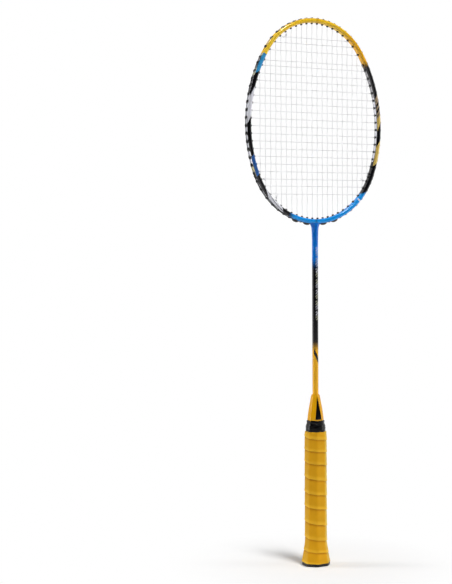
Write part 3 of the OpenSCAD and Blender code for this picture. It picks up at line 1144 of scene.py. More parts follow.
@dataclass(frozen=True)
class Throat:
    """Moulded collar between the shaft and the hoop, and the domed heads beside it."""

    head: Head
    sides: int = 48
    foot_drop: float = 20.0
    # Rise above the foot, half width and half depth
    profile: tuple[Point, ...] = (
        (0.0, 3.74, 3.74),
        (0.4, 3.82, 3.82),
        (4.0, 3.88, 3.86),
        (9.0, 4.08, 3.92),
        (13.0, 4.4, 3.98),
        (15.5, 4.8, 4.02),
        (17.3, 5.5, 4.04),
        (18.6, 6.5, 4.02),
        (19.7, 8.2, 3.98),
        (20.6, 10.5, 3.9),
        (21.4, 11.6, 3.6),
    )
    dome_l: float = 9.6
    dome_w: float = 2.5
    dome_h: float = 2.5
    dome_base: float = 1.0
    dome_base_w: float = 1.25
    dome_rows: int = 18
    dome_columns: int = 14
    # Powers that round the dome off towards its ends and its sides, and its width at the ends
    end_powers: Flat = (2.4, 0.62)
    side_powers: Flat = (2.6, 0.5)
    end_width: float = 0.55

    def build(self, wardrobe: Wardrobe, saddles: Sequence[float]) -> None:
        """Builds the collar and the domes.

        Args:
            wardrobe: materials.
            saddles: angles of the grommets that have domed heads.
        """
        settle(self.collar(), wardrobe.throat, "throat_paint", "throat_fairing")
        work = bmesh.new()
        for phi in saddles:
            dome = self.dome(phi)
            work.from_mesh(dome.data)
            bpy.data.meshes.remove(dome.data)
        mesh = bpy.data.meshes.new("saddle_domes")
        work.to_mesh(mesh)
        work.free()
        mesh.shade_smooth()
        domes = add_object("saddle_domes", mesh)
        settle(domes, wardrobe.nylon, "grommet", "throat_saddles")

    def collar(self) -> bpy.types.Object:
        """Builds the collar, whose upper rings bend to follow the hoop.

        Returns:
            The collar.
        """
        radius, foot = self.head.arcs[0].radius, self.head.under - self.foot_drop
        rings = []
        for rise, half_x, half_y in self.profile:
            bend = ease(rise / self.foot_drop)
            ring = []
            for cos, sin in turns(self.sides):
                arch = radius - math.sqrt(radius**2 - (half_x * cos) ** 2)
                ring.append((half_x * cos, half_y * sin, foot + rise + bend * arch))
            rings.append(ring)
        return Skin(rings).build("throat_collar")

    def dome(self, phi: float) -> bpy.types.Object:
        """Builds one domed head on the hoop's outer face.

        Args:
            phi: angle of its middle.

        Returns:
            The dome, which reaches a little into the hoop.
        """
        half_turn = math.degrees(self.dome_l / 2 / self.head.arcs[0].radius)
        (end_in, end_out), (side_in, side_out) = self.end_powers, self.side_powers
        rings = []
        for i in range(self.dome_rows + 1):
            u = -math.cos(math.pi * i / self.dome_rows)
            swell = max(1 - abs(u) ** end_in, 0.0) ** end_out
            ring = []
            for k in range(self.dome_columns + 1):
                v = -math.cos(math.pi * k / self.dome_columns)
                rise = self.dome_h * swell * max(1 - abs(v) ** side_in, 0.0) ** side_out
                x, z = self.head.rim(phi + u * half_turn, -rise)
                ring.append((x, v * self.dome_w * mix(self.end_width, 1.0, swell), z))
            x, z = self.head.rim(phi + u * half_turn, self.dome_base)
            ring.extend((x, y, z) for y in (self.dome_base_w, -self.dome_base_w))
            rings.append(ring)
        return Skin(rings).build("dome")


class GeometryTree(Tree):
    """A Geometry Nodes tree with named inputs, and how it is run on a host mesh."""

    def __init__(self, name: str, inputs: dict[str, str]) -> None:
        """Starts the tree.

        Args:
            name: name of the tree.
            inputs: name and socket type of each input after the geometry.
        """
        super().__init__(bpy.data.node_groups.new(name, "GeometryNodeTree"))
        face = self.tree.interface
        kinds = {"Geometry": "NodeSocketGeometry", **inputs, "Material": "NodeSocketMaterial"}
        self.ids = {
            key: face.new_socket(key, in_out="INPUT", socket_type=kind).identifier
            for key, kind in kinds.items()
        }
        face.new_socket("Geometry", in_out="OUTPUT", socket_type="NodeSocketGeometry")
        source = self.add("NodeGroupInput")
        self.put = {key: source.outputs[key] for key in kinds}

    def make(self, kind: str, feeds: dict[str | int, Value], **settings: object) -> Socket:
        """Adds a geometry node, and returns its first output."""
        return self.add("GeometryNode" + kind, feeds, **settings).outputs[0]

    def end(self, geometry: Socket) -> None:
        """Ends the tree: instances made real, smooth, with the material.

        Args:
            geometry: what the tree has made.
        """
        real = self.make("RealizeInstances", {"Geometry": geometry})
        smooth = self.make("SetShadeSmooth", {"Geometry": real})
        dressed = self.make("SetMaterial", {"Geometry": smooth, "Material": self.put["Material"]})
        self.add("NodeGroupOutput", {0: dressed})

    def run(self, host: bpy.types.Object, name: str, **values: object) -> bpy.types.Object:
        """Runs the tree on a host, and keeps the result as a plain mesh.

        Args:
            host: mesh that the tree reads, which is removed afterwards.
            name: name of the new piece.
            values: value of each input, by its name as a keyword.

        Returns:
            The new piece, at the origin.
        """
        modifier = host.modifiers.new(name, "NODES")
        modifier.node_group = self.tree
        for keyword, value in values.items():
            modifier[self.ids[spaced(keyword)]] = value
        graph = bpy.context.evaluated_depsgraph_get()
        mesh = bpy.data.meshes.new_from_object(host.evaluated_get(graph))
        mesh.name = name
        bpy.data.objects.remove(host)
        return add_object(name, mesh)


@dataclass(frozen=True)
class Grommets:
    """Barrels that line the string holes, with heads in the outer groove."""

    CHEEK_BALL = {"Segments": 10, "Rings": 7, "Radius": 1.0}

    head: Head
    barrel_r: float = 1.35
    barrel_soft: float = 0.15
    bore_r: float = 0.85
    flange_r: float = 1.7
    flange_h: float = 0.4
    flange_soft: float = 0.1
    cheek: Point = (2.0, 0.9, 1.2)
    cheek_y: float = 1.75
    cheek_z: float = -0.35
    round_points: int = 14

    @staticmethod
    def sleeve(tree: GeometryTree, part: str) -> Socket:
        """Sweeps a ring of square section with softened edges round local Z.

        Args:
            tree: tree that is being built.
            part: Barrel or Flange, whose inputs give the sizes.

        Returns:
            The ring.
        """
        put = tree.put
        bore, length = put["Bore radius"], put[part + " length"]
        wall = tree.minus(put[part + " radius"], bore)
        middle = tree.plus(bore, tree.times(wall, 0.5))
        feeds = {"Resolution": put["Round points"], "Radius": middle}
        path = tree.make("CurvePrimitiveCircle", feeds)
        section = tree.make("CurvePrimitiveQuadrilateral", {"Width": wall, "Height": length})
        feeds = {"Curve": section, "Count": 2, "Radius": put[part + " fillet"]}
        soft = tree.make("FilletCurve", feeds, mode="POLY")
        swept = tree.make("CurveToMesh", {"Curve": path, "Profile Curve": soft})
        shift = tree.add("ShaderNodeCombineXYZ", {"Z": put[part + " shift"]}).outputs[0]
        return tree.make("Transform", {"Geometry": swept, "Translation": shift})

    @classmethod
    def tree(cls) -> GeometryTree:
        """Builds nodes that set a grommet, with a bore and two cheeks, on each point of a host.

        Returns:
            The tree.
        """
        parts = ("Barrel", "Flange")
        measures = ("radius", "length", "shift", "fillet")
        sizes = [f"{part} {measure}" for part in parts for measure in measures]
        kinds = dict.fromkeys(("Bore radius", *sizes), "NodeSocketFloat")
        kinds |= dict.fromkeys(("Cheek size", "Cheek place"), "NodeSocketVector")
        tree = GeometryTree("Grommets on a hoop", {**kinds, "Round points": "NodeSocketInt"})
        made = [cls.sleeve(tree, part) for part in parts]
        ball = tree.make("MeshUVSphere", cls.CHEEK_BALL)
        for sign in (-1.0, 1.0):
            feeds = {0: tree.put["Cheek place"], 1: (1.0, sign, 1.0)}
            spot = tree.add("ShaderNodeVectorMath", feeds, operation="MULTIPLY").outputs[0]
            feeds = {"Geometry": ball, "Translation": spot, "Scale": tree.put["Cheek size"]}
            made.append(tree.make("Transform", feeds))
        joined = tree.add("GeometryNodeJoinGeometry")
        for part in made:
            tree.feed(joined.inputs[0], part)
        turn = tree.make("InputNamedAttribute", {"Name": "turn"}, data_type="FLOAT_VECTOR")
        feeds = {
            "Points": tree.put["Geometry"],
            "Instance": joined.outputs[0],
            "Rotation": tree.add("FunctionNodeEulerToRotation", {0: turn}).outputs[0],
        }
        tree.end(tree.make("InstanceOnPoints", feeds))
        return tree

    def build(
        self, tree: GeometryTree, name: str, angles: Sequence[float], material: bpy.types.Material
    ) -> bpy.types.Object:
        """Sets a group of grommets on the hoop.

        Args:
            tree: nodes that make the grommets.
            name: name of the piece.
            angles: angle of each grommet.
            material: material of all of them.

        Returns:
            The new piece.
        """
        mesh = bpy.data.meshes.new(name + "_spots")
        spots = [self.head.rim(phi) for phi in angles]
        mesh.from_pydata([(x * MM, 0.0, z * MM) for x, z in spots], [], [])
        turn = mesh.attributes.new("turn", "FLOAT_VECTOR", "POINT")
        tilts = [part for phi in angles for part in (0.0, math.radians(90 - phi), 0.0)]
        turn.data.foreach_set("vector", tilts)
        groove = self.head.groove_d
        length = self.head.thick + self.head.barrel_proud - groove
        return tree.run(
            add_object(name + "_spots", mesh),
            name,
            bore_radius=self.bore_r * MM,
            barrel_radius=self.barrel_r * MM,
            barrel_length=length * MM,
            barrel_shift=-(groove + length / 2) * MM,
            barrel_fillet=self.barrel_soft * MM,
            flange_radius=self.flange_r * MM,
            flange_length=self.flange_h * MM,
            flange_shift=(self.flange_h / 2 - groove) * MM,
            flange_fillet=self.flange_soft * MM,
            cheek_size=[part * MM for part in self.cheek],
            cheek_place=[0.0, self.cheek_y * MM, self.cheek_z * MM],
            round_points=self.round_points,
            material=material,
        )


@dataclass
class StringPath:
    """Points of a string with the phase and the share of its weave at each."""

    points: list[Point] = field(default_factory=list)
    phases: list[float] = field(default_factory=list)
    holds: list[float] = field(default_factory=list)
    breaks: list[int] = field(default_factory=list)

    def add(self, point: Point, phase: float = 0.0, hold: float = 0.0) -> None:
        """Adds one point.

        Args:
            point: its place.
            phase: phase of the weave there, in half turns.
            hold: share of the weave's height there.
        """
        self.points.append(point)
        self.phases.append(phase)
        self.holds.append(hold)

    def cut(self) -> None:
        """Ends one string, so that the next point starts another."""
        self.breaks.append(len(self.points))

    def host(self, name: str) -> bpy.types.Object:
        """Builds the mesh of edges that the string's nodes read.

        Args:
            name: name of the host.

        Returns:
            The host, which carries the phases and holds.
        """
        mesh = bpy.data.meshes.new(name)
        edges = [(i - 1, i) for i in range(1, len(self.points)) if i not in self.breaks]
        mesh.from_pydata([(x * MM, y * MM, z * MM) for x, y, z in self.points], edges, [])
        for key, values in (("phase", self.phases), ("hold", self.holds)):
            mesh.attributes.new(key, "FLOAT", "POINT").data.foreach_set("value", values)
        return add_object(name, mesh)


@dataclass(frozen=True)
class StringBed:
    """The two strings, their grommets and their knots."""

    head: Head
    mains: int = 22
    crosses: int = 22
    main_step: float = 7.4
    cross_step: float = 9.1
    cross_drop: float = 24.5
    radius: float = 0.35
    sides: int = 8
    side_cheek: Point = (2.5, 0.9, 1.2)
    lip_gap: float = 0.5
    share_gap: float = 3.5
    lane: float = 0.4
    weave: float = 0.37
    settle_l: float = 7.0
    samples: int = 6
    loop_d: float = 0.4
    loop_points: int = 6
    bend_r: float = 1.0
    bend_points: int = 4
    tie_cross: int = 19
    tie_crest_main: int = 5
    tie_foot_main: int = 3
    saddle_steps: Flat = (1.5, 3.5)
    knot_r: float = 0.8
    knot_rise: float = 0.85
    knot_turns: float = 2.5
    knot_points: int = 40
    knot_gap: float = 1.9
    tail_l: float = 3.5
    # Shares in which a knot's tail leans away from it, along the string and to the back
    tail_lean: Point = (0.5, 0.6, 0.5)

    @property
    def lip(self) -> float:
        """Depth at which a string bends into the head."""
        return self.head.thick + self.head.barrel_proud + self.lip_gap

    def main_x(self, i: int) -> float:
        """Returns the x of a main."""
        return (i - (self.mains - 1) / 2) * self.main_step

    def cross_z(self, j: int) -> float:
        """Returns the height of a cross."""
        return self.head.overall - self.cross_drop - j * self.cross_step

    @cached_property
    def crests(self) -> list[float]:
        """Angles at which the mains meet the crest."""
        return [self._upright(self.main_x(i), 90) for i in range(self.mains)]

    @cached_property
    def feet(self) -> list[float]:
        """Angles at which the mains meet the throat."""
        return [self._upright(self.main_x(i), -90) for i in range(self.mains)]

    def _upright(self, x: float, end: float) -> float:
        """Returns where an upright line meets the grommets' mouths, at the crest, 90, or at -90."""
        share = solve(lambda share: abs(x) - self.head.rim(end * share, self.lip)[0], 0, 1)
        return end * share if x > 0 else 180 - end * share

    def _level(self, z: float) -> float:
        """Returns the angle at which a level line meets the grommets' mouths on the right."""
        return solve(lambda phi: self.head.rim(phi, self.lip)[1] - z, -90, 90)

    @cached_property
    def rights(self) -> list[float]:
        """Angles at which the crosses meet the right side.

        Returns:
            An angle for each cross, which is a main's where the two would crowd each other.
        """
        ends = [phi for phi in (*self.crests, *self.feet) if phi < 90]
        found = []
        for j in range(self.crosses):
            own = self._level(self.cross_z(j))
            near = [phi for phi in ends if self._apart(phi, own) < self.share_gap]
            found.append(near[0] if near else own)
        return found

    def _apart(self, phi: float, other: float) -> float:
        """Returns the distance of two places on the hoop's outer face."""
        return math.dist(self.head.rim(phi), self.head.rim(other))

    def own_rights(self) -> list[float]:
        """Returns the angles of the crosses that have grommets of their own, on the right."""
        return [phi for phi in self.rights if phi not in (*self.crests, *self.feet)]

    def saddles(self) -> list[float]:
        """Finds the grommets beside the throat that have domed heads.

        Returns:
            Their angles.
        """
        return [
            phi
            for i, phi in enumerate(self.feet)
            if any(math.isclose(abs(self.main_x(i)), s * self.main_step) for s in self.saddle_steps)
        ]

    def _hole(self, phi: float, depth: float, y: float) -> Point:
        """Returns a point on a grommet's axis, in a lane."""
        x, z = self.head.rim(phi, depth)
        return (x, y, z)

    def loop(self, path: StringPath, start: float, end: float, y: float) -> None:
        """Takes a string out of one grommet, along the groove and into another.

        Args:
            path: path that grows.
            start: angle of the grommet that it leaves.
            end: angle of the grommet that it enters.
            y: lane that it stays in.
        """
        share = self.bend_r / self._apart(start, end)
        bend = [
            (share * (1 - math.cos(a)), self.loop_d + self.bend_r * (1 - math.sin(a)))
            for a in (math.pi / 2 * k / self.bend_points for k in range(self.bend_points + 1))
        ]
        flat = [
            (mix(share, 1 - share, k / self.loop_points), self.loop_d)
            for k in range(1, self.loop_points)
        ]
        for way, depth in (*bend, *flat, *((1 - way, depth) for way, depth in reversed(bend))):
            path.add(self._hole(mix(start, end, way), depth, y))

    def run(
        self, path: StringPath, start: float, end: float, y: float, phase: Callable[[Point], float]
    ) -> None:
        """Takes a string across the head, weaving.

        Args:
            path: path that grows.
            start: angle of the grommet that it leaves.
            end: angle of the grommet that it enters.
            y: lane that it has in the grommets.
            phase: rule for the weave's phase at a point, in half turns.
        """
        first, last = (Vector(self._hole(phi, self.lip, y)) for phi in (start, end))
        length = (last - first).length
        count = round(length * self.samples / min(self.main_step, self.cross_step))
        path.add(self._hole(start, self.lip - self.lip_gap, y))
        for k in range(count + 1):
            spot = first.lerp(last, k / count)
            hold = ease(min(k, count - k) * length / count / self.settle_l)
            point = (spot.x, y * (1 - hold), spot.z)
            path.add(point, phase(point), hold)
        path.add(self._hole(end, self.lip - self.lip_gap, y))

    def main_path(self) -> StringPath:
        """Lays the main string.

        Returns:
            Its way, from tie to tie.
        """
        path, y, tie = StringPath(), -self.lane, self.rights[self.tie_cross]
        path.add(self._hole(180 - tie, self.lip, y))
        self.loop(path, 180 - tie, self.feet[0], y)
        for i, (foot, crest) in enumerate(zip(self.feet, self.crests)):
            rises = i % 2 == 0
            start, end = (foot, crest) if rises else (crest, foot)
            self.run(
                path, start, end, y, lambda p, i=i: (self.cross_z(0) - p[2]) / self.cross_step + i
            )
            if i < self.mains - 1:
                row = self.crests if rises else self.feet
                self.loop(path, row[i], row[i + 1], y)
        self.loop(path, self.feet[-1], tie, y)
        path.add(self._hole(tie, self.lip, y))
        return path

    def cross_path(self) -> StringPath:
        """Lays the cross string.

        Returns:
            Its way, from tie to tie.
        """
        path, y = StringPath(), self.lane
        crest, foot = self.crests[self.tie_crest_main], self.feet[self.tie_foot_main]
        path.add(self._hole(crest, self.lip, y))
        self.loop(path, crest, 180 - self.rights[0], y)
        for j, right in enumerate(self.rights):
            goes_right = j % 2 == 0
            start, end = (180 - right, right) if goes_right else (right, 180 - right)
            self.run(
                path, start, end, y, lambda p, j=j: (p[0] - self.main_x(0)) / self.main_step + j + 1
            )
            if j < self.crosses - 1:
                after = self.rights[j + 1]
                self.loop(path, end, after if goes_right else 180 - after, y)
        self.loop(path, 180 - self.rights[-1], foot, y)
        path.add(self._hole(foot, self.lip, y))
        return path

    def knot_path(self) -> StringPath:
        """Ties the four knots.

        Returns:
            The ways of their coils and tails.
        """
        path, back, tie = StringPath(), Vector((0, 1, 0)), self.rights[self.tie_cross]
        settled = 1 - ease(self.knot_gap / self.settle_l)
        for phi, heading, y in (
            (tie, (-1, 0, 0), self.lane),
            (180 - tie, (1, 0, 0), self.lane),
            (self.crests[self.tie_crest_main], (0, 0, -1), -self.lane),
            (self.feet[self.tie_foot_main], (0, 0, 1), -self.lane),
        ):
            along = Vector(heading)
            start = Vector(self._hole(phi, self.lip, y * settled)) + along * self.knot_gap
            side = along.cross(back)
            for k in range(self.knot_points + 1):
                turn = self.knot_turns * k / self.knot_points
                out = side * math.cos(math.tau * turn) + back * math.sin(math.tau * turn)
                path.add(tuple(start + along * (turn * self.knot_rise) + out * self.knot_r))
            lean = sum((way * s for way, s in zip((out, along, back), self.tail_lean)), Vector())
            path.add(tuple(Vector(path.points[-1]) + lean.normalized() * self.tail_l))
            path.cut()
        return path

    @staticmethod
    def tree() -> GeometryTree:
        """Builds nodes that make a woven round string along a host's edges.

        Returns:
            The tree.
        """
        kinds = dict.fromkeys(("Radius", "Weave height"), "NodeSocketFloat")
        tree = GeometryTree("Woven string", {**kinds, "Sides": "NodeSocketInt"})
        put = tree.put
        phase, hold = (
            tree.make("InputNamedAttribute", {"Name": key}, data_type="FLOAT")
            for key in ("phase", "hold")
        )
        wave = tree.math("COSINE", tree.times(phase, math.pi))
        lift = {"Y": tree.times(wave, hold, put["Weave height"])}
        offset = tree.add("ShaderNodeCombineXYZ", lift).outputs[0]
        moved = tree.make("SetPosition", {"Geometry": put["Geometry"], "Offset": offset})
        line = tree.make("MeshToCurve", {0: moved})
        feeds = {"Resolution": put["Sides"], "Radius": put["Radius"]}
        ring = tree.make("CurvePrimitiveCircle", feeds)
        kept = []
        for curve, key, part in ((line, "way", "Length"), (ring, "round", "Factor")):
            place = tree.add("GeometryNodeSplineParameter").outputs[part]
            feeds = {"Geometry": curve, "Name": key, "Value": place}
            kept.append(tree.make("StoreNamedAttribute", feeds, domain="POINT"))
        feeds = {"Curve": kept[0], "Profile Curve": kept[1], "Fill Caps": True}
        tree.end(tree.make("CurveToMesh", feeds))
        return tree

    def build(self, wardrobe: Wardrobe) -> None:
        """Builds the grommets, strings and knots.

        Args:
            wardrobe: materials.
        """
        grommets, strings = Grommets.tree(), self.tree()
        mains, sides = Grommets(self.head), Grommets(self.head, cheek=self.side_cheek)
        own, domed = self.own_rights(), self.saddles()
        plain = [phi for phi in self.feet if phi not in domed]
        for name, angles, node, row in (
            ("crest_grommet_row", self.crests, "crest_grommets", mains),
            ("throat_grommet_row", plain, "throat_grommets", mains),
            ("saddle_grommet_row", domed, "throat_saddles", mains),
            ("right_grommet_row", own, "right_grommets", sides),
            ("left_grommet_row", [180 - phi for phi in own], "left_grommets", sides),
        ):
            piece = row.build(grommets, name, angles, wardrobe.nylon)
            settle(piece, wardrobe.nylon, "grommet", node)
        for name, path, weave, node in (
            ("main_string_weave", self.main_path(), self.weave, "main_string"),
            ("cross_string_weave", self.cross_path(), self.weave, "cross_string"),
            ("tie_knot_coils", self.knot_path(), 0.0, "tie_knots"),
        ):
            piece = strings.run(
                path.host(name + "_path"),
                name,
                radius=self.radius * MM,
                sides=self.sides,
                weave_height=weave * MM,
                material=wardrobe.string,
            )
            settle(piece, wardrobe.string, "string", node)


@dataclass(frozen=True)
class Handle:
    """Eight-sided outline of the handle, which all that is wrapped round it follows."""

    half_x: float = 11.2
    half_y: float = 10.6
    cut: float = 6.2
    flare_h: float = 28.0
    flare_gain: float = 0.4
    flare_power: float = 1.1
    taper_z: float = 160.0
    taper_loss: float = 0.12
    top: float = 180.0
    faces: int = 8
    smooth: float = 0.12
    smooth_points: int = 5

    def girth(self, z: float) -> float:
        """Finds how much wider or narrower the handle is at a height.

        Args:
            z: the height.

        Returns:
            Its girth as a share of that of the plain stretch.
        """
        if z < self.flare_h:
            return 1 + self.flare_gain * (1 - max(z, 0.0) / self.flare_h) ** self.flare_power
        if z > self.taper_z:
            return 1 - self.taper_loss * (z - self.taper_z) / (self.top - self.taper_z)
        return 1.0

    @staticmethod
    def octagon(x: float, y: float, cut: float) -> list[Flat]:
        """Returns an eight-sided outline, counter-clockwise from the right."""
        right, back = [(x, cut - y), (x, y - cut)], [(x - cut, y), (cut - x, y)]
        return [*right, *back, *((-a, -b) for a, b in (*right, *back))]

    def corners(self, z: float, grow: float) -> list[Flat]:
        """Returns the outline's corners at a height, grown outwards."""
        x, y, cut = (self.girth(z) * size for size in (self.half_x, self.half_y, self.cut))
        return self.octagon(x + grow, y + grow, cut + CORNER_GROWTH * grow)

    def on_corners(self, corners: Sequence[Flat], face: float) -> Flat:
        """Finds a point of an outline whose corners are drawn softly.

        Args:
            corners: corners of the outline.
            face: number of faces from the first corner.

        Returns:
            The point's x and y, averaged over a short stretch of the outline.
        """
        x = y = 0.0
        for k in range(self.smooth_points):
            spread = 2 * k / (self.smooth_points - 1) - 1
            at = (face + spread * self.smooth) % self.faces
            i, share = int(at), at % 1
            a, b = corners[i % self.faces], corners[(i + 1) % self.faces]
            x += mix(a[0], b[0], share) / self.smooth_points
            y += mix(a[1], b[1], share) / self.smooth_points
        return (x, y)

    def point(self, face: float, z: float, grow: float) -> Point:
        """Returns a point round the handle at a height, grown outwards."""
        return (*self.on_corners(self.corners(z, grow), face), z)

    def steps(self, count: int) -> list[float]:
        """Returns even steps round the handle, in faces."""
        return [self.faces * k / count for k in range(count)]


@dataclass(frozen=True)
class GripWrap:
    """Grip tape wound up the handle, each turn lapped over the one below."""

    handle: Handle
    foot: float = 3.65
    top: float = 166.5
    start: float = 17.0
    rise: float = 17.9
    # Size, and degrees for each turn, of the waves by which the winding strays from an even rise
    wander: tuple[Flat, ...] = ((1.3, 100.0), (1.6, 54.0), (1.3, 360.0))
    first_turn: float = -1.73
    last_turn: float = 8.47
    first_face: float = 6.0
    per_turn: int = 112
    thick: float = 2.0
    skin: float = 0.06
    # Share of the width, shift up and growth over the wood, from the lower edge to the upper
    section: tuple[Point, ...] = (
        (0.0, 2.4, 0.06),
        (0.0, 1.2, 0.8),
        (0.0, 0.25, 1.5),
        (0.0, 0.0, 1.72),
        (0.0, 0.05, 1.92),
        (0.0, 0.3, 2.16),
        (0.0, 0.7, 2.32),
        (0.06, 0.0, 2.38),
        (0.1, 0.0, 2.34),
        (0.16, 0.0, 2.2),
        (0.22, 0.0, 2.1),
        (0.34, 0.0, 2.04),
        (0.6, 0.0, 2.02),
        (0.8, 0.0, 1.95),
        (0.92, 0.0, 1.83),
        (1.0, 0.0, 1.6),
        (1.0, 0.8, 0.6),
        (1.0, 1.0, 0.06),
    )
    # Point of the section at which the tape's lowest edge lies
    edge_point: int = 3
    ripple: float = 0.05
    ripple_rates: Flat = (9.0, 0.35)
    sharp: float = 60.0

    def lower_edge(self, turn: float) -> float:
        """Returns the height of the tape's lower edge after a number of turns."""
        sway = sum(size * math.sin(math.radians(rate * turn)) for size, rate in self.wander)
        return self.start + self.rise * turn - sway

    def profile(self, turn: float) -> list[Point]:
        """Cuts the tape's section off at the butt's rim and at the finishing tape.

        Args:
            turn: number of turns.

        Returns:
            Height, growth over the wood and share of the width at each point.
        """
        low, high = self.lower_edge(turn), self.lower_edge(turn + 1)
        made = [(mix(low, high, share) + shift, grow, share) for share, shift, grow in self.section]
        self._trim(made, range(len(made) - 2, -1, -1), self.foot, -1)
        self._trim(made, range(self.edge_point, len(made)), self.top, 1)
        made[0] = (min(made[0][0], self.top), *made[0][1:])
        made[-1] = (max(made[-1][0], self.foot), *made[-1][1:])
        return made

    def _trim(self, made: list[Point], order: Sequence[int], limit: float, sign: int) -> None:
        """Folds what lies past a limit flat onto it, down to the wood.

        Args:
            made: height, growth and share of the section's points, which is changed.
            order: numbers of the points that may be cut, in the order of the way to the limit.
            limit: height of the cut.
            sign: 1 to cut what lies above the limit, or -1 for what lies below.
        """
        first = next((k for k, i in enumerate(order) if sign * (made[i][0] - limit) > 0), None)
        if first is None:
            return
        rest = order[first:]
        z1, reach, _ = made[rest[0]]
        if first:
            z0, grow, _ = made[order[first - 1]]
            reach = mix(grow, reach, (limit - z0) / (z1 - z0))
        for k, i in enumerate(rest):
            share = k / max(len(rest) - 1, 1)
            made[i] = (limit, mix(reach, self.skin, share), made[i][2])

    def build(self, wardrobe: Wardrobe) -> None:
        """Winds the tape.

        Args:
            wardrobe: materials.
        """
        rings, marks = [], []
        count = round((self.last_turn - self.first_turn) * self.per_turn)
        girth = math.tau * (self.handle.half_x + self.thick)
        round_rate, up_rate = self.ripple_rates
        for k in range(count + 1):
            turn = mix(self.first_turn, self.last_turn, k / count)
            face = (self.first_face - self.handle.faces * turn) % self.handle.faces
            ring = []
            for z, grow, share in self.profile(turn):
                wave = noise.noise(Vector((turn * round_rate, z * up_rate, 0.0)))
                ring.append(self.handle.point(face, z, grow * (1 + self.ripple * wave)))
                marks.append((turn * girth, z - self.rise * turn, share))
            rings.append(ring)
        grip = Skin(rings, sharp=self.sharp, marks={"tape": marks}).build("grip_wrap")
        settle(grip, wardrobe.grip, "grip", "grip_tape")


@dataclass(frozen=True)
class Wrinkles:
    """Folds and creases of vinyl that was stretched round a handle."""

    size: float = 0.2
    fold_round: float = 2.2
    fold_up: float = 0.42
    fine_rate: float = 2.3
    fine_share: float = 0.5
    crease_up: float = 2.1
    crease_sway: float = 2.2
    crease_lobes: int = 2
    crease_turn: float = 0.7
    crease_fold: float = 3.0
    crease_share: float = 0.45

    def swell(self, angle: float, z: float) -> float:
        """Finds how far the vinyl stands out at a place.

        Args:
            angle: angle round the handle.
            z: height.

        Returns:
            The swell, which is negative in a hollow.
        """
        across, back = self.fold_round * math.cos(angle), self.fold_round * math.sin(angle)
        spot = Vector((across, back, z * self.fold_up))
        fold = noise.noise(spot) + self.fine_share * noise.noise(spot * self.fine_rate)
        sway = self.crease_sway * math.sin(angle * self.crease_lobes + self.crease_turn)
        crease = math.sin(z * self.crease_up + sway + fold * self.crease_fold)
        return self.size * (fold + self.crease_share * crease)


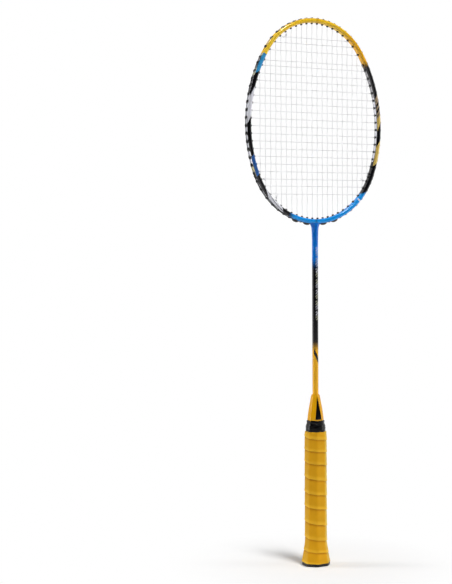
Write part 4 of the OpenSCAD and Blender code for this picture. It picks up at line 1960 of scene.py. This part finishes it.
@dataclass(frozen=True)
class HandleTrim:
    """Cone, finishing tape and butt: what closes the handle at its two ends."""

    handle: Handle
    sides: int = 96
    cone_round: float = 207.5
    cone_cut: float = 0.5636
    cone_sharp: float = 50.0
    # Height and reach of the cone
    cone_profile: tuple[Flat, ...] = (
        (179.6, 9.86),
        (180.4, 9.9),
        (186.0, 9.45),
        (190.7, 8.85),
        (195.5, 8.2),
        (200.3, 7.35),
        (205.0, 6.5),
        (208.5, 5.9),
        (210.2, 5.62),
        (210.9, 5.2),
        (211.3, 4.96),
        (211.9, 4.9),
        (212.35, 4.78),
        (212.5, 4.55),
        (212.5, 3.72),
    )
    # Height of the finishing tape and its growth over the wood
    vinyl_profile: tuple[Flat, ...] = (
        (166.0, 0.3),
        (166.1, 1.0),
        (166.9, 1.35),
        (168.6, 1.62),
        (171.0, 1.74),
        (173.4, 1.68),
        (174.9, 1.4),
        (175.8, 0.95),
        (176.5, 0.5),
        (177.0, 0.5),
        (177.7, 0.9),
        (178.8, 1.0),
        (179.8, 0.85),
        (180.3, 0.55),
        (180.4, 0.1),
    )
    vinyl_step: float = 0.35
    vinyl_round: float = 0.7
    vinyl_full: float = 1.6
    vinyl_sharp: float = 60.0
    wrinkles: Wrinkles = Wrinkles()
    rim_x: float = 16.4
    rim_y: float = 15.6
    rim_h: float = 3.6
    rim_soft: float = 0.35
    rim_bevel: float = 0.105
    rim_sharp: float = 35.0
    badge_r: float = 8.05
    # Growth over the badge's radius, and height, of the recess that it lies in
    recess: tuple[Flat, ...] = ((-0.161, 0.62), (0.0, 0.05), (0.1, 0.0))
    # Heights of the neck, which the grip hides
    neck: tuple[float, ...] = (3.62, 6.0, 12.0, 18.0, 25.0)

    def build(self, wardrobe: Wardrobe) -> None:
        """Builds the three pieces.

        Args:
            wardrobe: materials.
        """
        settle(self.cone(), wardrobe.cone, "cone_plastic", "cone_cap")
        settle(self.vinyl(), wardrobe.vinyl, "vinyl", "finishing_tape")
        settle(self.butt(), wardrobe.butt, "butt_plastic", "butt_cap")

    def cone(self) -> bpy.types.Object:
        """Builds the cone, eight-sided at its foot and round at its top.

        Returns:
            The cone.
        """
        handle, foot = self.handle, self.cone_profile[0][0]
        flats = handle.octagon(1.0, handle.half_y / handle.half_x, self.cone_cut)
        spots = [handle.on_corners(flats, face) for face in handle.steps(self.sides)]
        rings = []
        for z, reach in self.cone_profile:
            morph = ease((z - foot) / (self.cone_round - foot))
            ring = []
            for x, y in spots:
                scale = mix(reach, reach / math.hypot(x, y), morph)
                ring.append((x * scale, y * scale, z))
            rings.append(ring)
        return Skin(rings, sharp=self.cone_sharp).build("cone_cap_skin")

    def vinyl(self) -> bpy.types.Object:
        """Builds the finishing tape with the wrinkles of stretched vinyl.

        Returns:
            The tape.
        """
        handle, (low, high) = self.handle, (self.vinyl_profile[i][0] for i in (0, -1))
        count = round((high - low) / self.vinyl_step)
        rings = []
        for i in range(count + 1):
            z = mix(low, high, i / count)
            grow = follow(self.vinyl_profile, z)
            roundness = self.vinyl_round * ease(grow / self.vinyl_full)
            ring = []
            for face in handle.steps(self.sides):
                angle = math.tau * face / handle.faces
                out = grow + self.wrinkles.swell(angle, z) * min(grow, 1.0)
                x, y, _ = handle.point(face, z, out)
                even = handle.girth(z) * handle.half_x + out
                scale = mix(1.0, even / math.hypot(x, y), roundness)
                ring.append((x * scale, y * scale, z))
            rings.append(ring)
        return Skin(rings, sharp=self.vinyl_sharp).build("finishing_wrap")

    def butt(self) -> bpy.types.Object:
        """Builds the butt cap's recess, flat foot, rim and neck.

        Returns:
            The butt.
        """
        handle, steps = self.handle, self.handle.steps(self.sides)
        cut = handle.cut * (1 + handle.flare_gain)
        lower = [(self.rim_soft, 0.0), (self.rim_bevel, self.rim_bevel), (0.0, self.rim_soft)]
        upper = [(shrink, self.rim_h - z) for shrink, z in reversed(lower)]
        rings = [self._round(self.badge_r + grow, z) for grow, z in self.recess]
        for shrink, z in (*lower, *upper):
            inset = cut - CORNER_GROWTH * shrink
            corners = handle.octagon(self.rim_x - shrink, self.rim_y - shrink, inset)
            rings.append([(*handle.on_corners(corners, face), z) for face in steps])
        rings.extend([handle.point(face, z, 0.0) for face in steps] for z in self.neck)
        return Skin(rings, sharp=self.rim_sharp).build("butt_end")

    def _round(self, radius: float, z: float) -> list[Point]:
        """Draws a round ring whose points lie on the same rays as the handle's.

        Args:
            radius: radius of the ring.
            z: its height.

        Returns:
            Its points.
        """
        ring = []
        for face in self.handle.steps(self.sides):
            x, y, _ = self.handle.point(face, z, 0.0)
            out = math.hypot(x, y)
            ring.append((x / out * radius, y / out * radius, z))
        return ring


@dataclass(frozen=True)
class Shaft:
    """Slim tube from the cone to the throat."""

    radius: float = 3.7
    foot: float = 200.0
    top: float = 417.6
    sides: int = 64
    step: float = 4.0

    def build(self, wardrobe: Wardrobe) -> None:
        """Builds the tube.

        Args:
            wardrobe: materials.
        """
        count = round((self.top - self.foot) / self.step)
        heights = [mix(self.foot, self.top, i / count) for i in range(count + 1)]
        ring = [(self.radius * cos, self.radius * sin) for cos, sin in turns(self.sides)]
        tube = Skin([[(x, y, z) for x, y in ring] for z in heights]).build("shaft_tube")
        settle(tube, wardrobe.shaft, "shaft_paint", "shaft")


@dataclass(frozen=True)
class InnerParts:
    """Solids that stay as they are, inside the racket or under its butt."""

    nodes: dict[str, bpy.types.Object]

    def dress(self, wardrobe: Wardrobe) -> None:
        """Gives each of them its material.

        Args:
            wardrobe: materials.
        """
        for node, material in (
            ("t_joint", wardrobe.insert),
            ("handle_core", wardrobe.wood),
            ("butt_tacks", wardrobe.steel),
            ("butt_badge", wardrobe.disc),
        ):
            wear(self.nodes[node], material)
            log.info("%s: kept, in %s", node, material.name)


@dataclass(frozen=True)
class Softbox:
    """A soft lamp with a flat face. Places and sizes are in metres, its power is in watts."""

    name: str
    place: Point
    size: Flat
    power: float
    spread: float = 180.0

    def hang(self, aim: Point) -> None:
        """Hangs the lamp.

        Args:
            aim: point that it faces.
        """
        data = bpy.data.lights.new(self.name, "AREA")
        data.shape = "RECTANGLE"
        data.size, data.size_y = self.size
        data.energy = self.power
        data.spread = math.radians(self.spread)
        lamp = add_object(self.name, data)
        lamp.visible_camera = False
        lamp.location = self.place
        away = Vector(self.place) - Vector(aim)
        lamp.rotation_euler = away.to_track_quat("Z", "Y").to_euler()


@dataclass(frozen=True)
class Studio:
    """Pale floor, soft light and the camera. Places are in metres."""

    azimuth: float = -32.54
    distance: float = 1.75
    eye_height: float = 0.41
    lens: float = 87.19
    swing: float = 3.609
    pitch: float = 2.3
    roll: float = -0.326
    floor_half: float = 4.0
    floor_drop: float = 0.0003
    floor_tone: float = 0.96
    floor_roughness: float = 0.9
    # Distances between which the floor turns from one that takes shadow into plain white
    shadow_fade: Flat = (0.03, 0.2)
    world_front: float = 0.04
    world_back: float = 0.25
    # How far the front of the world reaches round to the back, as cosines of the angle
    world_fade: Flat = (-0.35, 0.3)
    lamps: tuple[Softbox, ...] = (
        Softbox("key_softbox", (0.15, -1.7, 3.6), (0.9, 0.9), 5.4, spread=40.0),
        Softbox("top_strip", (-0.4, -1.3, 3.0), (2.6, 0.5), 8.0),
        Softbox("left_strip", (-1.01, 0.65, 0.4), (0.3, 1.1), 9.5),
        Softbox("right_strip", (1.01, -0.65, 0.4), (0.3, 1.1), 5.0),
    )
    aim: Point = (0.0, 0.0, 0.4)

    def build(self) -> None:
        """Builds the whole studio."""
        bpy.context.scene.view_settings.view_transform = "Standard"
        self.camera()
        self.floor()
        self.world()
        for lamp in self.lamps:
            lamp.hang(self.aim)

    @property
    def towards_eye(self) -> Vector:
        """Level direction from the racket to the camera."""
        azimuth = math.radians(self.azimuth)
        return Vector((math.sin(azimuth), -math.cos(azimuth), 0.0))

    def camera(self) -> None:
        """Sets the camera level with the shaft, turned so that the racket stands right of centre."""
        data = bpy.data.cameras.new("portrait")
        data.lens = self.lens
        eye = add_object("portrait", data)
        eye.location = self.towards_eye * self.distance + Vector((0.0, 0.0, self.eye_height))
        level = Matrix.Rotation(math.radians(self.azimuth + self.swing), 3, "Z")
        tilt = Matrix.Rotation(math.radians(90 - self.pitch), 3, "X")
        lean = Matrix.Rotation(math.radians(self.roll), 3, "Z")
        eye.rotation_euler = (level @ tilt @ lean).to_euler()
        bpy.context.scene.camera = eye

    def floor(self) -> None:
        """Lays the floor, which shows the shadow near the racket and is plain white further off."""
        half = self.floor_half
        signs = ((-1, -1), (1, -1), (1, 1), (-1, 1))
        mesh = bpy.data.meshes.new("floor")
        points = [(x * half, y * half, -self.floor_drop) for x, y in signs]
        mesh.from_pydata(points, [], [range(len(points))])
        floor = add_object("floor", mesh)
        made = bpy.data.materials.new("floor_white")
        made.use_nodes = True
        tree, nodes = Tree(made.node_tree), made.node_tree.nodes
        shader = nodes["Principled BSDF"]
        shader.inputs["Base Color"].default_value = (*(self.floor_tone,) * 3, 1.0)
        shader.inputs["Roughness"].default_value = self.floor_roughness
        shader.inputs["Specular IOR Level"].default_value = 0.0
        spot = tree.add("ShaderNodeTexCoord").outputs["Object"]
        away = tree.add("ShaderNodeVectorMath", {0: spot}, operation="LENGTH").outputs["Value"]
        share = tree.times(tree.ramp(away, *self.shadow_fade), self.seen(tree))
        white = tree.add("ShaderNodeEmission", {"Color": WHITE}).outputs[0]
        shown = tree.add("ShaderNodeMixShader", {0: share, 1: shader.outputs[0], 2: white})
        tree.feed(nodes["Material Output"].inputs["Surface"], shown.outputs[0])
        wear(floor, made)

    @staticmethod
    def seen(tree: Tree) -> Socket:
        """Tells the rays by which a background shows from those that light.

        Args:
            tree: tree of the background's material.

        Returns:
            1 for the first kind and 0 for the second.
        """
        path = tree.add("ShaderNodeLightPath").outputs
        direct = tree.math("MAXIMUM", path["Is Camera Ray"], path["Is Transmission Ray"])
        return tree.math("MAXIMUM", direct, path["Is Glossy Ray"])

    def world(self) -> None:
        """Lights the racket from all round, more from behind and the sides than from the front."""
        world = bpy.data.worlds.new("studio")
        bpy.context.scene.world = world
        world.use_nodes = True
        tree, background = Tree(world.node_tree), world.node_tree.nodes["Background"]
        feeds = {0: tree.add("ShaderNodeTexCoord").outputs["Generated"], 1: self.towards_eye}
        front = tree.add("ShaderNodeVectorMath", feeds, operation="DOT_PRODUCT").outputs["Value"]
        back = tree.fade(self.seen(tree), self.world_back, 1.0)
        level = tree.fade(tree.ramp(front, *self.world_fade), back, self.world_front)
        camera = tree.add("ShaderNodeLightPath").outputs["Is Camera Ray"]
        tree.feed(background.inputs["Strength"], tree.fade(camera, level, 1.0))
        background.inputs["Color"].default_value = WHITE


def main() -> None:
    """Loads the solids, dresses the racket and lights it."""
    logging.basicConfig(level=logging.INFO, format="%(name)s: %(message)s")
    for item in list(bpy.data.objects):
        bpy.data.objects.remove(item)
    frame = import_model()
    Studio().build()
    head, handle = Head(), Handle()
    wardrobe, bed = Wardrobe(head), StringBed(head)
    HeadHoop(head).build(wardrobe)
    Throat(head).build(wardrobe, bed.saddles())
    Shaft().build(wardrobe)
    bed.build(wardrobe)
    GripWrap(handle).build(wardrobe)
    HandleTrim(handle).build(wardrobe)
    InnerParts(frame["nodes"]).dress(wardrobe)


if __name__ == "__main__":
    main()
